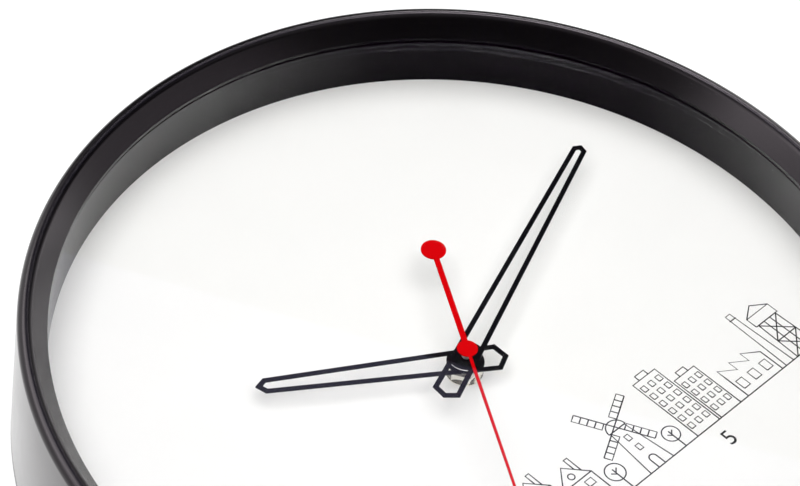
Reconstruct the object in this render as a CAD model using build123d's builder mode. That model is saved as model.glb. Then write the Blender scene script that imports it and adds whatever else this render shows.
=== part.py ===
"""Round quartz wall clock: a deep black case, a white dial and skeleton hands on a geared movement.

Frame: +Z up to twelve o'clock, +X to three o'clock, the dial faces -Y, and the wall is the plane Y = 0.
The origin is the centre of the hanging hole, on the wall.
Lengths are millimetres. Heights are measured from the wall towards the viewer.
"""

import os
from math import acos, atan2, cos, degrees, hypot, pi, radians, sin

from build123d import *

os.makedirs("parts", exist_ok=True)

# Case
CASE_DEPTH = 56.9
CASE_RADIUS = 150.0
CASE_DRAFT = 2.15
CASE_WALL = 3.0
CREST_RADIUS = 3.0
LIP_WIDTH = 9.95
LIP_DROP = 6.9
LIP_EDGE = 1.2

# Glass, reveal ring and dial
GLASS_THICK = 2.0
GLASS_CLEARANCE = 0.6
DIAL_DEPTH = 28.7
DIAL_THICK = 1.0
REVEAL_INSET = 0.3
REVEAL_WALL = 1.0
DIAL_CLEARANCE = 0.2

# Back plate and its screws
PLATE_THICK = 2.5
PLATE_CLEARANCE = 1.2
RIB_THICK = 1.8
RIB_HEIGHT = 6.0
RIB_COUNT = 12
RIB_RING_INSET = 10.0
MOVEMENT_POCKET_GAP = 2.0
SCREW_COUNT = 6
SCREW_SHANK_RADIUS = 1.3
SCREW_LENGTH = 10.0
SCREW_HEAD_RADIUS = 2.5
SCREW_HEAD_HEIGHT = 1.8
SCREW_SLOT_WIDTH = 0.8
SCREW_SLOT_DEPTH = 0.7
SCREW_CLEARANCE = 0.05
SCREW_HOLE_CLEARANCE = 0.3
SCREW_BOSS_RADIUS = 2.4
SCREW_BOSS_GAP = 0.2
SCREW_BOSS_LENGTH = 16.0

# Hanging turret
HANG_HEIGHT = 90.0
HANG_HOLE_RADIUS = 4.5
HANG_SLOT_WIDTH = 4.6
HANG_SLOT_RISE = 11.0
HANG_WALL = 3.0
TURRET_WALL = 2.5
TURRET_WIDTH = 30.0
TURRET_MARGIN = 12.0
TURRET_CORNER = 5.0

# Movement housing
MOVEMENT_SIDE = 56.0
MOVEMENT_DEPTH = 16.5
MOVEMENT_WALL = 1.2
MOVEMENT_CORNER = 3.0
COVER_CLEARANCE = 0.1
BATTERY_WALL = 1.0
BUSH_RADIUS = 4.0
BUSH_STAND = 0.3
DIAL_HOLE_CLEARANCE = 0.3
RUBBER_THICK = 1.0
RUBBER_RADIUS = 9.0
NUT_WASHER_THICK = 0.5
NUT_WASHER_RADIUS = 6.5
NUT_FLATS = 11.0
NUT_HEIGHT = 3.6
NUT_CHAMFER = 0.6

# Shafts, one inside the other
HOUR_TUBE_RADIUS = 2.5
MINUTE_TUBE_RADIUS = 1.6
SECOND_ARBOR_RADIUS = 0.5
RUNNING_CLEARANCE = 0.05
PIVOT_RADIUS = 0.35
ARBOR_RADIUS = 0.4
STEM_RADIUS = 1.2
CENTRE_HUB_RADIUS = 2.2
ROTOR_ARBOR_RADIUS = 0.8

# Gear train: teeth
CANNON_TEETH = 12
MOTION_WHEEL_TEETH = 36
MOTION_PINION_TEETH = 10
HOUR_WHEEL_TEETH = 40
CENTRE_WHEEL_TEETH = 64
THIRD_PINION_TEETH = 8
THIRD_WHEEL_TEETH = 60
SECOND_PINION_TEETH = 8
SECOND_WHEEL_TEETH = 60
STEP_PINION_TEETH = 12
STEP_WHEEL_TEETH = 60
ROTOR_PINION_TEETH = 10

# Gear train: centre distances and the direction of each from the wheel before it, in degrees
MOTION_CENTRES = 11.0
MOTION_DIRECTION = 180.0
THIRD_CENTRES = 9.2
THIRD_DIRECTION = 60.0
STEP_CENTRES = 9.0
STEP_DIRECTION = -10.0
ROTOR_CENTRES = 8.4
ROTOR_DIRECTION = 20.0

# Gear train: tooth form as shares of the module or the pitch
TOOTH_ADDENDUM = 0.8
TOOTH_DEDENDUM = 1.25
TOOTH_TIP_SHARE = 0.22
TOOTH_ROOT_SHARE = 0.7

# Gear train: depths behind the front of the movement, with the wheels and pinions' widths
WHEEL_WIDTH = 0.8
PINION_WIDTH = 1.2
HOUR_WHEEL_DEPTH = 1.7
MOTION_WHEEL_DEPTH = 3.3
BRIDGE_DEPTH = 4.6
BRIDGE_THICK = 0.8
CENTRE_WHEEL_DEPTH = 5.8
THIRD_WHEEL_DEPTH = 7.4
SECOND_WHEEL_DEPTH = 9.2
STEP_WHEEL_DEPTH = 11.0
PIVOT_BOSS_DEPTH = 12.8
PIVOT_BOSS_RADIUS = 1.4
PIVOT_LENGTH = 1.4
BRIDGE_WIDTH = 45.0
BRIDGE_HEIGHT = 20.0
BRIDGE_POST_RADIUS = 1.3
BRIDGE_POST_INSET = 1.8

# Stepping motor
MAGNET_RADIUS = 3.0
MAGNET_THICK = 1.6
MAGNET_DEPTH = 5.6
STATOR_GAP = 0.4
STATOR_RING = 2.6
STATOR_THICK = 0.8
STATOR_DEPTH = 6.0
STATOR_LEG_WIDTH = 2.5
COIL_HEIGHT = 21.2
COIL_LEFT = 9.6
COIL_RIGHT = 24.5
COIL_RADIUS = 3.4
CORE_WIDTH = 3.0
CORE_THICK = 1.0
BOBBIN_WALL = 0.5
BOBBIN_FLANGE = 0.6
BOBBIN_FLANGE_RADIUS = 4.0
STATOR_POST_RADIUS = 1.1
STATOR_POST_HEIGHT = 14.8

# Circuit and battery
BOARD_THICK = 0.8
BOARD_STAND = 0.5
BOARD_LOW = 12.4
BOARD_EDGE_GAP = 0.9
BOARD_POST_CLEARANCE = 0.2
CHIP_RADIUS = 2.6
CHIP_HEIGHT = 1.2
CRYSTAL_RADIUS = 1.0
CRYSTAL_LENGTH = 6.0
CELL_RADIUS = 7.1
CELL_LENGTH = 49.0
CELL_NUB_RADIUS = 2.75
CELL_NUB_LENGTH = 1.3
CELL_CLEARANCE = 0.3
CONTACT_THICK = 0.4
CONTACT_WIDTH = 8.0
CONTACT_TAIL_WIDTH = 2.0
CONTACT_GAP = 0.05

# Setting knob
KNOB_RADIUS = 6.0
KNOB_HEIGHT = 3.6
KNOB_GAP = 0.4
KNOB_FLUTES = 18
KNOB_FLUTE_RADIUS = 0.7

# Hands: heights of their front faces above the dial, then lengths from the axis
HAND_THICK = 0.5
HAND_HUB_RADIUS = 6.4
HAND_RAIL = 1.75
HOUR_HAND_HEIGHT = 5.6
HOUR_HAND_TIP = 71.2
HOUR_HAND_TIP_SHOULDER = 68.1
HOUR_HAND_TIP_HALF_WIDTH = 3.15
HOUR_HAND_TAIL_SHOULDER = 11.4
HOUR_HAND_TAIL_HALF_WIDTH = 5.5
HOUR_HAND_TAIL = 14.9
MINUTE_HAND_HEIGHT = 8.2
MINUTE_HAND_TIP = 109.4
MINUTE_HAND_TIP_SHOULDER = 107.5
MINUTE_HAND_TIP_HALF_WIDTH = 2.65
MINUTE_HAND_TAIL_SHOULDER = 17.5
MINUTE_HAND_TAIL_HALF_WIDTH = 4.9
MINUTE_HAND_TAIL = 20.0
MINUTE_TUBE_STAND = 0.9
SECOND_HAND_HEIGHT = 11.9
SECOND_HAND_THICK = 0.4
SECOND_HAND_LENGTH = 106.0
SECOND_HAND_NEEDLE_ROOT = 1.15
SECOND_HAND_NEEDLE_TIP = 0.65
SECOND_HAND_ARM = 2.0
SECOND_HAND_HUB_RADIUS = 3.5
SECOND_HAND_DISC_RADIUS = 4.35
SECOND_HAND_DISC_REACH = 44.8
SECOND_PIPE_RADIUS = 1.5
SECOND_PIPE_LENGTH = 2.0

# The hour that the hands show, as clockwise degrees from twelve, and the turn from three to twelve
HOUR_HAND_ANGLE = 302.5
MINUTE_HAND_ANGLE = 68.4
SECOND_HAND_ANGLE = 211.5
QUARTER_TURN = 90.0

# Heights above the wall that follow from the sizes above
lip_height = CASE_DEPTH - LIP_DROP
glass_front = lip_height - LIP_EDGE
glass_back = glass_front - GLASS_THICK
dial_front = CASE_DEPTH - DIAL_DEPTH
plate_front = dial_front - DIAL_THICK
plate_back = plate_front - PLATE_THICK
movement_front = plate_back - RUBBER_THICK
nut_back = dial_front + NUT_WASHER_THICK
nut_front = nut_back + NUT_HEIGHT
hour_hand_back = dial_front + HOUR_HAND_HEIGHT - HAND_THICK
minute_hand_back = dial_front + MINUTE_HAND_HEIGHT - HAND_THICK
second_hand_back = dial_front + SECOND_HAND_HEIGHT - SECOND_HAND_THICK

# Radii that follow from the sizes above
case_front_radius = CASE_RADIUS - CASE_DRAFT
lip_radius = case_front_radius - LIP_WIDTH
reveal_inner = lip_radius + REVEAL_INSET
reveal_outer = reveal_inner + REVEAL_WALL
dial_radius = reveal_outer - DIAL_CLEARANCE
screw_circle = reveal_outer + SCREW_BOSS_GAP + SCREW_BOSS_RADIUS
bush_bore = HOUR_TUBE_RADIUS + RUNNING_CLEARANCE
bush_hole = BUSH_RADIUS + DIAL_HOLE_CLEARANCE
pivot_hole = PIVOT_RADIUS + RUNNING_CLEARANCE
stem_hole = STEM_RADIUS + RUNNING_CLEARANCE
second_hole = SECOND_ARBOR_RADIUS + RUNNING_CLEARANCE


def case_outer(height):
    """Radius of the case's drafted outer wall at a height above the wall."""
    return CASE_RADIUS - CASE_DRAFT * height / CASE_DEPTH


def case_inner(height):
    """Radius of the case's inner wall at a height above the wall."""
    return case_outer(height) - CASE_WALL


def polar(distance, direction, start=(0, 0)):
    """A point at a distance and a direction in degrees from a start point."""
    angle = radians(direction)
    return (start[0] + distance * cos(angle), start[1] + distance * sin(angle))


def front(height, turn=0.0):
    """The plane across the hands' axis at a height above the wall, turned counter-clockwise."""
    angle = radians(turn)
    return Plane(origin=(0, -height, -HANG_HEIGHT), x_dir=(cos(angle), 0, sin(angle)), z_dir=(0, -1, 0))


def behind(depth):
    """The plane across the hands' axis at a depth behind the front of the movement."""
    return front(movement_front - depth)


def column(radius, low, high, centre=(0, 0), mode=Mode.ADD):
    """A round column along the hands' axis between two heights."""
    with BuildSketch(front(low)) as face:
        with Locations(centre):
            Circle(radius)
    extrude(face.sketch, amount=high - low, mode=mode)


def rod(radius, near, far, centre=(0, 0), mode=Mode.ADD):
    """A round column between two depths behind the front of the movement."""
    column(radius, movement_front - far, movement_front - near, centre, mode)


def block(width, height, near, far, centre=(0, 0), mode=Mode.ADD, corner=0.0):
    """A rectangular block between two depths behind the front of the movement."""
    with BuildSketch(behind(far)) as face:
        with Locations(centre):
            if corner > 0:
                RectangleRounded(width, height, corner)
            else:
                Rectangle(width, height)
    extrude(face.sketch, amount=far - near, mode=mode)


def gear_points(teeth, module, phase):
    """Corners of a gear's outline, four to a tooth, with one tooth's centre at the phase angle."""
    pitch_radius = teeth * module / 2
    root = pitch_radius - TOOTH_DEDENDUM * module
    tip = pitch_radius + TOOTH_ADDENDUM * module
    pitch = 360 / teeth
    arc = pi * module
    half_root = degrees(arc * TOOTH_ROOT_SHARE / 2 / pitch_radius)
    half_tip = degrees(arc * TOOTH_TIP_SHARE / 2 / pitch_radius)
    points = []
    for index in range(teeth):
        middle = phase + index * pitch
        points.append(polar(root, middle - half_root))
        points.append(polar(tip, middle - half_tip))
        points.append(polar(tip, middle + half_tip))
        points.append(polar(root, middle + half_root))
    return points


def gear(teeth, module, phase, near, width, centre=(0, 0)):
    """A toothed disc from a depth behind the front of the movement."""
    with BuildSketch(behind(near + width)) as face:
        with Locations(centre):
            with BuildSketch(mode=Mode.PRIVATE) as outline:
                with BuildLine():
                    Polyline(*gear_points(teeth, module, phase), close=True)
                make_face()
            add(outline.sketch_local)
    extrude(face.sketch, amount=width)


def meshed(direction, teeth, phase, next_teeth):
    """Phase of a gear that meshes with another, which lies in a direction from it."""
    share = ((direction - phase) * teeth / 360) % 1
    return direction + 180 - (0.5 - share) * 360 / next_teeth


def tangent_point(centre, radius, point, side):
    """Where a line from a point touches a circle, on the side given by +1 or -1."""
    across = point[0] - centre[0]
    up = point[1] - centre[1]
    angle = atan2(up, across) + side * acos(radius / hypot(across, up))
    return (centre[0] + radius * cos(angle), centre[1] + radius * sin(angle))


def save(builder, name):
    """Label a finished piece and write it."""
    builder.part.label = name
    export_step(builder.part, f"parts/{name}.step")


# Case ring: drafted wall, rounded crest and a lip that slopes in to the glass
crest = (case_front_radius - CREST_RADIUS, CASE_DEPTH - CREST_RADIUS)
wall_foot = (CASE_RADIUS, 0)
lip_edge = (lip_radius, lip_height)
wall_top = tangent_point(crest, CREST_RADIUS, wall_foot, 1)
lip_top = tangent_point(crest, CREST_RADIUS, lip_edge, -1)
crest_top = (crest[0], crest[1] + CREST_RADIUS)
section = Plane(origin=(0, 0, -HANG_HEIGHT), x_dir=(1, 0, 0), z_dir=(0, 0, 1))

with BuildPart() as case_ring:
    with BuildSketch(section):
        with BuildLine():
            Line((wall_foot[0], 0), (wall_top[0], -wall_top[1]))
            ThreePointArc(
                (wall_top[0], -wall_top[1]),
                (crest_top[0], -crest_top[1]),
                (lip_top[0], -lip_top[1]),
            )
            Polyline(
                (lip_top[0], -lip_top[1]),
                (lip_radius, -lip_height),
                (lip_radius, -glass_front),
                (case_inner(glass_front), -glass_front),
                (case_inner(0), 0),
                (wall_foot[0], 0),
            )
        make_face()
    revolve(axis=Axis((0, 0, -HANG_HEIGHT), (0, 1, 0)))
    boss_web = case_inner(plate_front) + CASE_WALL / 2 - screw_circle
    with BuildSketch(front(plate_front)) as bosses:
        with PolarLocations(screw_circle, SCREW_COUNT):
            Circle(SCREW_BOSS_RADIUS)
        with PolarLocations(screw_circle + boss_web / 2, SCREW_COUNT):
            Rectangle(boss_web, SCREW_BOSS_RADIUS)
    extrude(bosses.sketch, amount=SCREW_BOSS_LENGTH)
    with BuildSketch(front(plate_front)) as pilots:
        with PolarLocations(screw_circle, SCREW_COUNT):
            Circle(SCREW_SHANK_RADIUS + SCREW_CLEARANCE)
    extrude(pilots.sketch, amount=SCREW_LENGTH, mode=Mode.SUBTRACT)
save(case_ring, "case_ring")

# Glass, held between the lip and the reveal ring
with BuildPart() as lens_glass:
    column(case_inner(glass_front) - GLASS_CLEARANCE, glass_back, glass_front)
save(lens_glass, "lens_glass")

# Reveal ring: the dark inner wall between the glass and the dial
with BuildPart() as reveal_ring:
    column(reveal_outer, dial_front, glass_back)
    column(reveal_inner, dial_front, glass_back, mode=Mode.SUBTRACT)
save(reveal_ring, "reveal_ring")

# Dial
with BuildPart() as dial_plate:
    column(dial_radius, plate_front, dial_front)
    column(bush_hole, plate_front, dial_front, mode=Mode.SUBTRACT)
save(dial_plate, "dial_plate")

# Back plate: a ribbed disc with the movement's frame and the hanging turret
plate_radius = case_inner(plate_back) - PLATE_CLEARANCE
rib_ring = screw_circle - RIB_RING_INSET
pocket_side = MOVEMENT_SIDE + 2 * MOVEMENT_POCKET_GAP
pocket_outer = pocket_side + 2 * RIB_THICK
rib_back = plate_back - RIB_HEIGHT
turret_low = HANG_HEIGHT - TURRET_MARGIN
turret_high = HANG_HEIGHT + HANG_SLOT_RISE + TURRET_MARGIN
turret_height = turret_high - turret_low
turret_middle = (0, (turret_low + turret_high) / 2)
rib_start = pocket_side / 2

with BuildPart() as back_plate:
    column(plate_radius, plate_back, plate_front)
    column(rib_ring + RIB_THICK, rib_back, plate_back)
    column(rib_ring, rib_back, plate_back, mode=Mode.SUBTRACT)
    with BuildSketch(front(rib_back)) as ribs:
        with PolarLocations((rib_start + rib_ring) / 2, RIB_COUNT):
            Rectangle(rib_ring - rib_start + RIB_THICK, RIB_THICK)
        Rectangle(pocket_outer, pocket_outer)
        Rectangle(pocket_side, pocket_side, mode=Mode.SUBTRACT)
    extrude(ribs.sketch, amount=RIB_HEIGHT)
    with BuildSketch(front(0)) as turret:
        with Locations(turret_middle):
            RectangleRounded(TURRET_WIDTH, turret_height, TURRET_CORNER)
    extrude(turret.sketch, amount=plate_back)
    with BuildSketch(front(HANG_WALL)) as turret_hollow:
        with Locations(turret_middle):
            RectangleRounded(
                TURRET_WIDTH - 2 * TURRET_WALL,
                turret_height - 2 * TURRET_WALL,
                TURRET_CORNER - TURRET_WALL,
            )
    extrude(turret_hollow.sketch, amount=plate_back - HANG_WALL, mode=Mode.SUBTRACT)
    with BuildSketch(front(0)) as keyhole:
        with Locations((0, HANG_HEIGHT)):
            Circle(HANG_HOLE_RADIUS)
        with Locations((0, HANG_HEIGHT + HANG_SLOT_RISE / 2)):
            Rectangle(HANG_SLOT_WIDTH, HANG_SLOT_RISE)
        with Locations((0, HANG_HEIGHT + HANG_SLOT_RISE)):
            Circle(HANG_SLOT_WIDTH / 2)
    extrude(keyhole.sketch, amount=HANG_WALL, mode=Mode.SUBTRACT)
    with BuildSketch(front(plate_back)) as plate_holes:
        Circle(bush_hole)
        with PolarLocations(screw_circle, SCREW_COUNT):
            Circle(SCREW_SHANK_RADIUS + SCREW_HOLE_CLEARANCE)
    extrude(plate_holes.sketch, amount=PLATE_THICK, mode=Mode.SUBTRACT)
save(back_plate, "back_plate")

# Screws that hold the back plate to the case
with BuildPart() as back_screws:
    with BuildSketch(front(plate_back - SCREW_HEAD_HEIGHT)) as heads:
        with PolarLocations(screw_circle, SCREW_COUNT):
            Circle(SCREW_HEAD_RADIUS)
    extrude(heads.sketch, amount=SCREW_HEAD_HEIGHT)
    with BuildSketch(front(plate_back)) as shanks:
        with PolarLocations(screw_circle, SCREW_COUNT):
            Circle(SCREW_SHANK_RADIUS)
    extrude(shanks.sketch, amount=SCREW_LENGTH)
    with BuildSketch(front(plate_back - SCREW_HEAD_HEIGHT)) as slots:
        with PolarLocations(screw_circle, SCREW_COUNT):
            Rectangle(2 * SCREW_HEAD_RADIUS, SCREW_SLOT_WIDTH)
            Rectangle(SCREW_SLOT_WIDTH, 2 * SCREW_HEAD_RADIUS)
    extrude(slots.sketch, amount=SCREW_SLOT_DEPTH, mode=Mode.SUBTRACT)
save(back_screws, "back_screws")

# Places of the wheels, as seen from the front
motion_at = polar(MOTION_CENTRES, MOTION_DIRECTION)
third_at = polar(THIRD_CENTRES, THIRD_DIRECTION)
step_at = polar(STEP_CENTRES, STEP_DIRECTION)
rotor_at = polar(ROTOR_CENTRES, ROTOR_DIRECTION, step_at)

# Places inside the movement
inner_side = MOVEMENT_SIDE - 2 * MOVEMENT_WALL
inner_half = inner_side / 2
cover_depth = MOVEMENT_DEPTH - MOVEMENT_WALL
motion_pivot = MOVEMENT_WALL / 2
bay_height = 2 * CELL_RADIUS + 2 * CELL_CLEARANCE
bay_top = bay_height - inner_half
battery_wall_top = bay_top + BATTERY_WALL
cell_at = bay_top - bay_height / 2
cell_depth = MOVEMENT_WALL + CELL_CLEARANCE + CELL_RADIUS
bridge_posts = [
    (side * (BRIDGE_WIDTH / 2 - BRIDGE_POST_INSET), end * (BRIDGE_HEIGHT / 2 - BRIDGE_POST_INSET))
    for side in (-1, 1)
    for end in (-1, 1)
]
stator_posts = [
    (COIL_LEFT + STATOR_LEG_WIDTH / 2, STATOR_POST_HEIGHT),
    (COIL_RIGHT - STATOR_LEG_WIDTH / 2, STATOR_POST_HEIGHT),
]
board_width = inner_side - 2 * BOARD_EDGE_GAP
board_height = inner_half - BOARD_EDGE_GAP - BOARD_LOW
board_middle = (0, BOARD_LOW + board_height / 2)
board_near = MOVEMENT_WALL + BOARD_STAND
board_far = board_near + BOARD_THICK
board_feet = [
    (side * (board_width / 2 - BRIDGE_POST_RADIUS), BOARD_LOW + board_height - BRIDGE_POST_RADIUS)
    for side in (-1, 1)
]
contact_tail_top = BOARD_LOW + 2 * CONTACT_TAIL_WIDTH
contact_notch = CONTACT_THICK + 2 * CONTACT_GAP

# Movement housing: front wall, threaded bush, battery bay and the posts for the inner pieces
with BuildPart() as movement_housing:
    block(MOVEMENT_SIDE, MOVEMENT_SIDE, 0, MOVEMENT_DEPTH, corner=MOVEMENT_CORNER)
    block(
        inner_side,
        inner_side,
        MOVEMENT_WALL,
        MOVEMENT_DEPTH,
        mode=Mode.SUBTRACT,
        corner=MOVEMENT_CORNER - MOVEMENT_WALL,
    )
    block(
        inner_side - 2 * contact_notch,
        BATTERY_WALL,
        MOVEMENT_WALL,
        cover_depth,
        (0, bay_top + BATTERY_WALL / 2),
    )
    for post in bridge_posts:
        rod(BRIDGE_POST_RADIUS, MOVEMENT_WALL, BRIDGE_DEPTH, post)
    for post in stator_posts:
        rod(STATOR_POST_RADIUS, MOVEMENT_WALL, STATOR_DEPTH, post)
    for foot in board_feet:
        rod(BRIDGE_POST_RADIUS, MOVEMENT_WALL, board_near, foot)
    column(BUSH_RADIUS, movement_front, nut_front + BUSH_STAND)
    column(bush_bore, movement_front - MOVEMENT_WALL, nut_front + BUSH_STAND, mode=Mode.SUBTRACT)
    rod(pivot_hole, motion_pivot, MOVEMENT_WALL, motion_at, Mode.SUBTRACT)
save(movement_housing, "movement_housing")

# Movement cover: closes the wheels in, and carries their rear pivots
cover_height = inner_half - battery_wall_top - COVER_CLEARANCE
cover_middle = (0, battery_wall_top + cover_height / 2)
pivots_at = [(0, 0), third_at, step_at, rotor_at]
with BuildPart() as movement_cover:
    block(
        inner_side - 2 * COVER_CLEARANCE,
        cover_height,
        cover_depth,
        MOVEMENT_DEPTH,
        cover_middle,
        corner=MOVEMENT_CORNER - MOVEMENT_WALL,
    )
    for place in pivots_at:
        rod(PIVOT_BOSS_RADIUS, PIVOT_BOSS_DEPTH, cover_depth, place)
        rod(pivot_hole, PIVOT_BOSS_DEPTH, PIVOT_BOSS_DEPTH + PIVOT_LENGTH, place, Mode.SUBTRACT)
    rod(stem_hole, cover_depth, MOVEMENT_DEPTH, motion_at, Mode.SUBTRACT)
save(movement_cover, "movement_cover")

# Bridge: the inner plate that carries the front pivots
with BuildPart() as train_bridge:
    block(BRIDGE_WIDTH, BRIDGE_HEIGHT, BRIDGE_DEPTH, BRIDGE_DEPTH + BRIDGE_THICK)
    bridge_far = BRIDGE_DEPTH + BRIDGE_THICK
    rod(CENTRE_HUB_RADIUS + RUNNING_CLEARANCE, BRIDGE_DEPTH, bridge_far, mode=Mode.SUBTRACT)
    rod(stem_hole, BRIDGE_DEPTH, bridge_far, motion_at, Mode.SUBTRACT)
    for place in (third_at, step_at, rotor_at):
        rod(pivot_hole, BRIDGE_DEPTH, bridge_far, place, Mode.SUBTRACT)
save(train_bridge, "train_bridge")

# Washers and nut that clamp the movement to the plate and the dial
with BuildPart() as rubber_washer:
    column(RUBBER_RADIUS, movement_front, plate_back)
    column(bush_hole, movement_front, plate_back, mode=Mode.SUBTRACT)
save(rubber_washer, "rubber_washer")

with BuildPart() as nut_washer:
    column(NUT_WASHER_RADIUS, dial_front, nut_back)
    column(BUSH_RADIUS + SCREW_CLEARANCE, dial_front, nut_back, mode=Mode.SUBTRACT)
save(nut_washer, "nut_washer")

with BuildPart() as fixing_nut:
    with BuildSketch(front(nut_back)) as hexagon:
        RegularPolygon(NUT_FLATS / 2, 6, major_radius=False)
    extrude(hexagon.sketch, amount=NUT_HEIGHT)
    chamfer(fixing_nut.faces().sort_by(Axis.Y)[0].edges(), NUT_CHAMFER)
    column(BUSH_RADIUS + SCREW_CLEARANCE, nut_back, nut_front, mode=Mode.SUBTRACT)
save(fixing_nut, "fixing_nut")

# Modules and phases of the train, worked out from the centre distances
motion_module = 2 * MOTION_CENTRES / (CANNON_TEETH + MOTION_WHEEL_TEETH)
hour_module = 2 * MOTION_CENTRES / (MOTION_PINION_TEETH + HOUR_WHEEL_TEETH)
centre_module = 2 * THIRD_CENTRES / (CENTRE_WHEEL_TEETH + THIRD_PINION_TEETH)
third_module = 2 * THIRD_CENTRES / (THIRD_WHEEL_TEETH + SECOND_PINION_TEETH)
second_module = 2 * STEP_CENTRES / (SECOND_WHEEL_TEETH + STEP_PINION_TEETH)
rotor_module = 2 * ROTOR_CENTRES / (STEP_WHEEL_TEETH + ROTOR_PINION_TEETH)
motion_phase = meshed(MOTION_DIRECTION, CANNON_TEETH, 0, MOTION_WHEEL_TEETH)
hour_phase = meshed(MOTION_DIRECTION + 180, MOTION_PINION_TEETH, 0, HOUR_WHEEL_TEETH)
third_phase = meshed(THIRD_DIRECTION, CENTRE_WHEEL_TEETH, 0, THIRD_PINION_TEETH)
second_phase = meshed(THIRD_DIRECTION + 180, THIRD_WHEEL_TEETH, 0, SECOND_PINION_TEETH)
step_phase = meshed(STEP_DIRECTION, SECOND_WHEEL_TEETH, 0, STEP_PINION_TEETH)
rotor_phase = meshed(ROTOR_DIRECTION, STEP_WHEEL_TEETH, 0, ROTOR_PINION_TEETH)
pinion_lead = (PINION_WIDTH - WHEEL_WIDTH) / 2
rear_pivot = PIVOT_BOSS_DEPTH + PIVOT_LENGTH - RUNNING_CLEARANCE
bridge_pivot = BRIDGE_DEPTH + RUNNING_CLEARANCE

# Hour wheel with its tube, which runs in the bush
with BuildPart() as hour_wheel:
    gear(HOUR_WHEEL_TEETH, hour_module, hour_phase, HOUR_WHEEL_DEPTH, WHEEL_WIDTH)
    hour_wheel_back = movement_front - HOUR_WHEEL_DEPTH - WHEEL_WIDTH
    hour_tube_end = hour_hand_back + HAND_THICK
    column(HOUR_TUBE_RADIUS, hour_wheel_back, hour_tube_end)
    column(MINUTE_TUBE_RADIUS + RUNNING_CLEARANCE, hour_wheel_back, hour_tube_end, mode=Mode.SUBTRACT)
save(hour_wheel, "hour_wheel")

# Minute arbor: cannon pinion, hub and the tube that carries the minute hand
minute_tube_end = minute_hand_back + HAND_THICK + MINUTE_TUBE_STAND
centre_wheel_far = CENTRE_WHEEL_DEPTH + WHEEL_WIDTH
with BuildPart() as minute_arbor:
    gear(CANNON_TEETH, motion_module, 0, MOTION_WHEEL_DEPTH, WHEEL_WIDTH)
    rod(CENTRE_HUB_RADIUS, MOTION_WHEEL_DEPTH + WHEEL_WIDTH, centre_wheel_far)
    column(MINUTE_TUBE_RADIUS, movement_front - centre_wheel_far, minute_tube_end)
    column(second_hole, movement_front - centre_wheel_far, minute_tube_end, mode=Mode.SUBTRACT)
save(minute_arbor, "minute_arbor")

# Centre wheel, a friction fit on the minute arbor's hub
with BuildPart() as centre_wheel:
    gear(CENTRE_WHEEL_TEETH, centre_module, 0, CENTRE_WHEEL_DEPTH, WHEEL_WIDTH)
    rod(CENTRE_HUB_RADIUS, CENTRE_WHEEL_DEPTH, centre_wheel_far, mode=Mode.SUBTRACT)
save(centre_wheel, "centre_wheel")

# Motion wheel: wheel, pinion and the stem that the knob turns
with BuildPart() as motion_wheel:
    gear(MOTION_WHEEL_TEETH, motion_module, motion_phase, MOTION_WHEEL_DEPTH, WHEEL_WIDTH, motion_at)
    gear(
        MOTION_PINION_TEETH,
        hour_module,
        0,
        HOUR_WHEEL_DEPTH - pinion_lead,
        MOTION_WHEEL_DEPTH - HOUR_WHEEL_DEPTH + pinion_lead,
        motion_at,
    )
    rod(PIVOT_RADIUS, motion_pivot + RUNNING_CLEARANCE, HOUR_WHEEL_DEPTH, motion_at)
    rod(STEM_RADIUS, MOTION_WHEEL_DEPTH, MOVEMENT_DEPTH + KNOB_GAP + KNOB_HEIGHT / 2, motion_at)
save(motion_wheel, "motion_wheel")

# Setting knob, pressed on the stem behind the cover
knob_near = MOVEMENT_DEPTH + KNOB_GAP
with BuildPart() as setting_knob:
    rod(KNOB_RADIUS, knob_near, knob_near + KNOB_HEIGHT, motion_at)
    with BuildSketch(behind(knob_near + KNOB_HEIGHT)) as flutes:
        with Locations(motion_at):
            with PolarLocations(KNOB_RADIUS, KNOB_FLUTES):
                Circle(KNOB_FLUTE_RADIUS)
    extrude(flutes.sketch, amount=KNOB_HEIGHT, mode=Mode.SUBTRACT)
    rod(STEM_RADIUS, knob_near, knob_near + KNOB_HEIGHT / 2, motion_at, Mode.SUBTRACT)
save(setting_knob, "setting_knob")

# Third wheel: pinion on the centre wheel, wheel on the second pinion
with BuildPart() as third_wheel:
    gear(
        THIRD_PINION_TEETH,
        centre_module,
        third_phase,
        CENTRE_WHEEL_DEPTH - pinion_lead,
        THIRD_WHEEL_DEPTH - CENTRE_WHEEL_DEPTH + pinion_lead,
        third_at,
    )
    gear(THIRD_WHEEL_TEETH, third_module, 0, THIRD_WHEEL_DEPTH, WHEEL_WIDTH, third_at)
    rod(PIVOT_RADIUS, bridge_pivot, rear_pivot, third_at)
save(third_wheel, "third_wheel")

# Second arbor: a steel pin through all the tubes, from the cover to the second hand
second_arbor_end = second_hand_back
with BuildPart() as second_arbor:
    column(SECOND_ARBOR_RADIUS, movement_front - PIVOT_BOSS_DEPTH + RUNNING_CLEARANCE, second_arbor_end)
    rod(PIVOT_RADIUS, THIRD_WHEEL_DEPTH, rear_pivot)
save(second_arbor, "second_arbor")

# Second wheel and its pinion, pressed on the second arbor
second_pinion_near = THIRD_WHEEL_DEPTH - pinion_lead
with BuildPart() as second_wheel:
    gear(
        SECOND_PINION_TEETH,
        third_module,
        second_phase,
        second_pinion_near,
        SECOND_WHEEL_DEPTH - second_pinion_near,
    )
    gear(SECOND_WHEEL_TEETH, second_module, 0, SECOND_WHEEL_DEPTH, WHEEL_WIDTH)
    rod(
        SECOND_ARBOR_RADIUS,
        second_pinion_near,
        SECOND_WHEEL_DEPTH + WHEEL_WIDTH,
        mode=Mode.SUBTRACT,
    )
save(second_wheel, "second_wheel")

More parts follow.
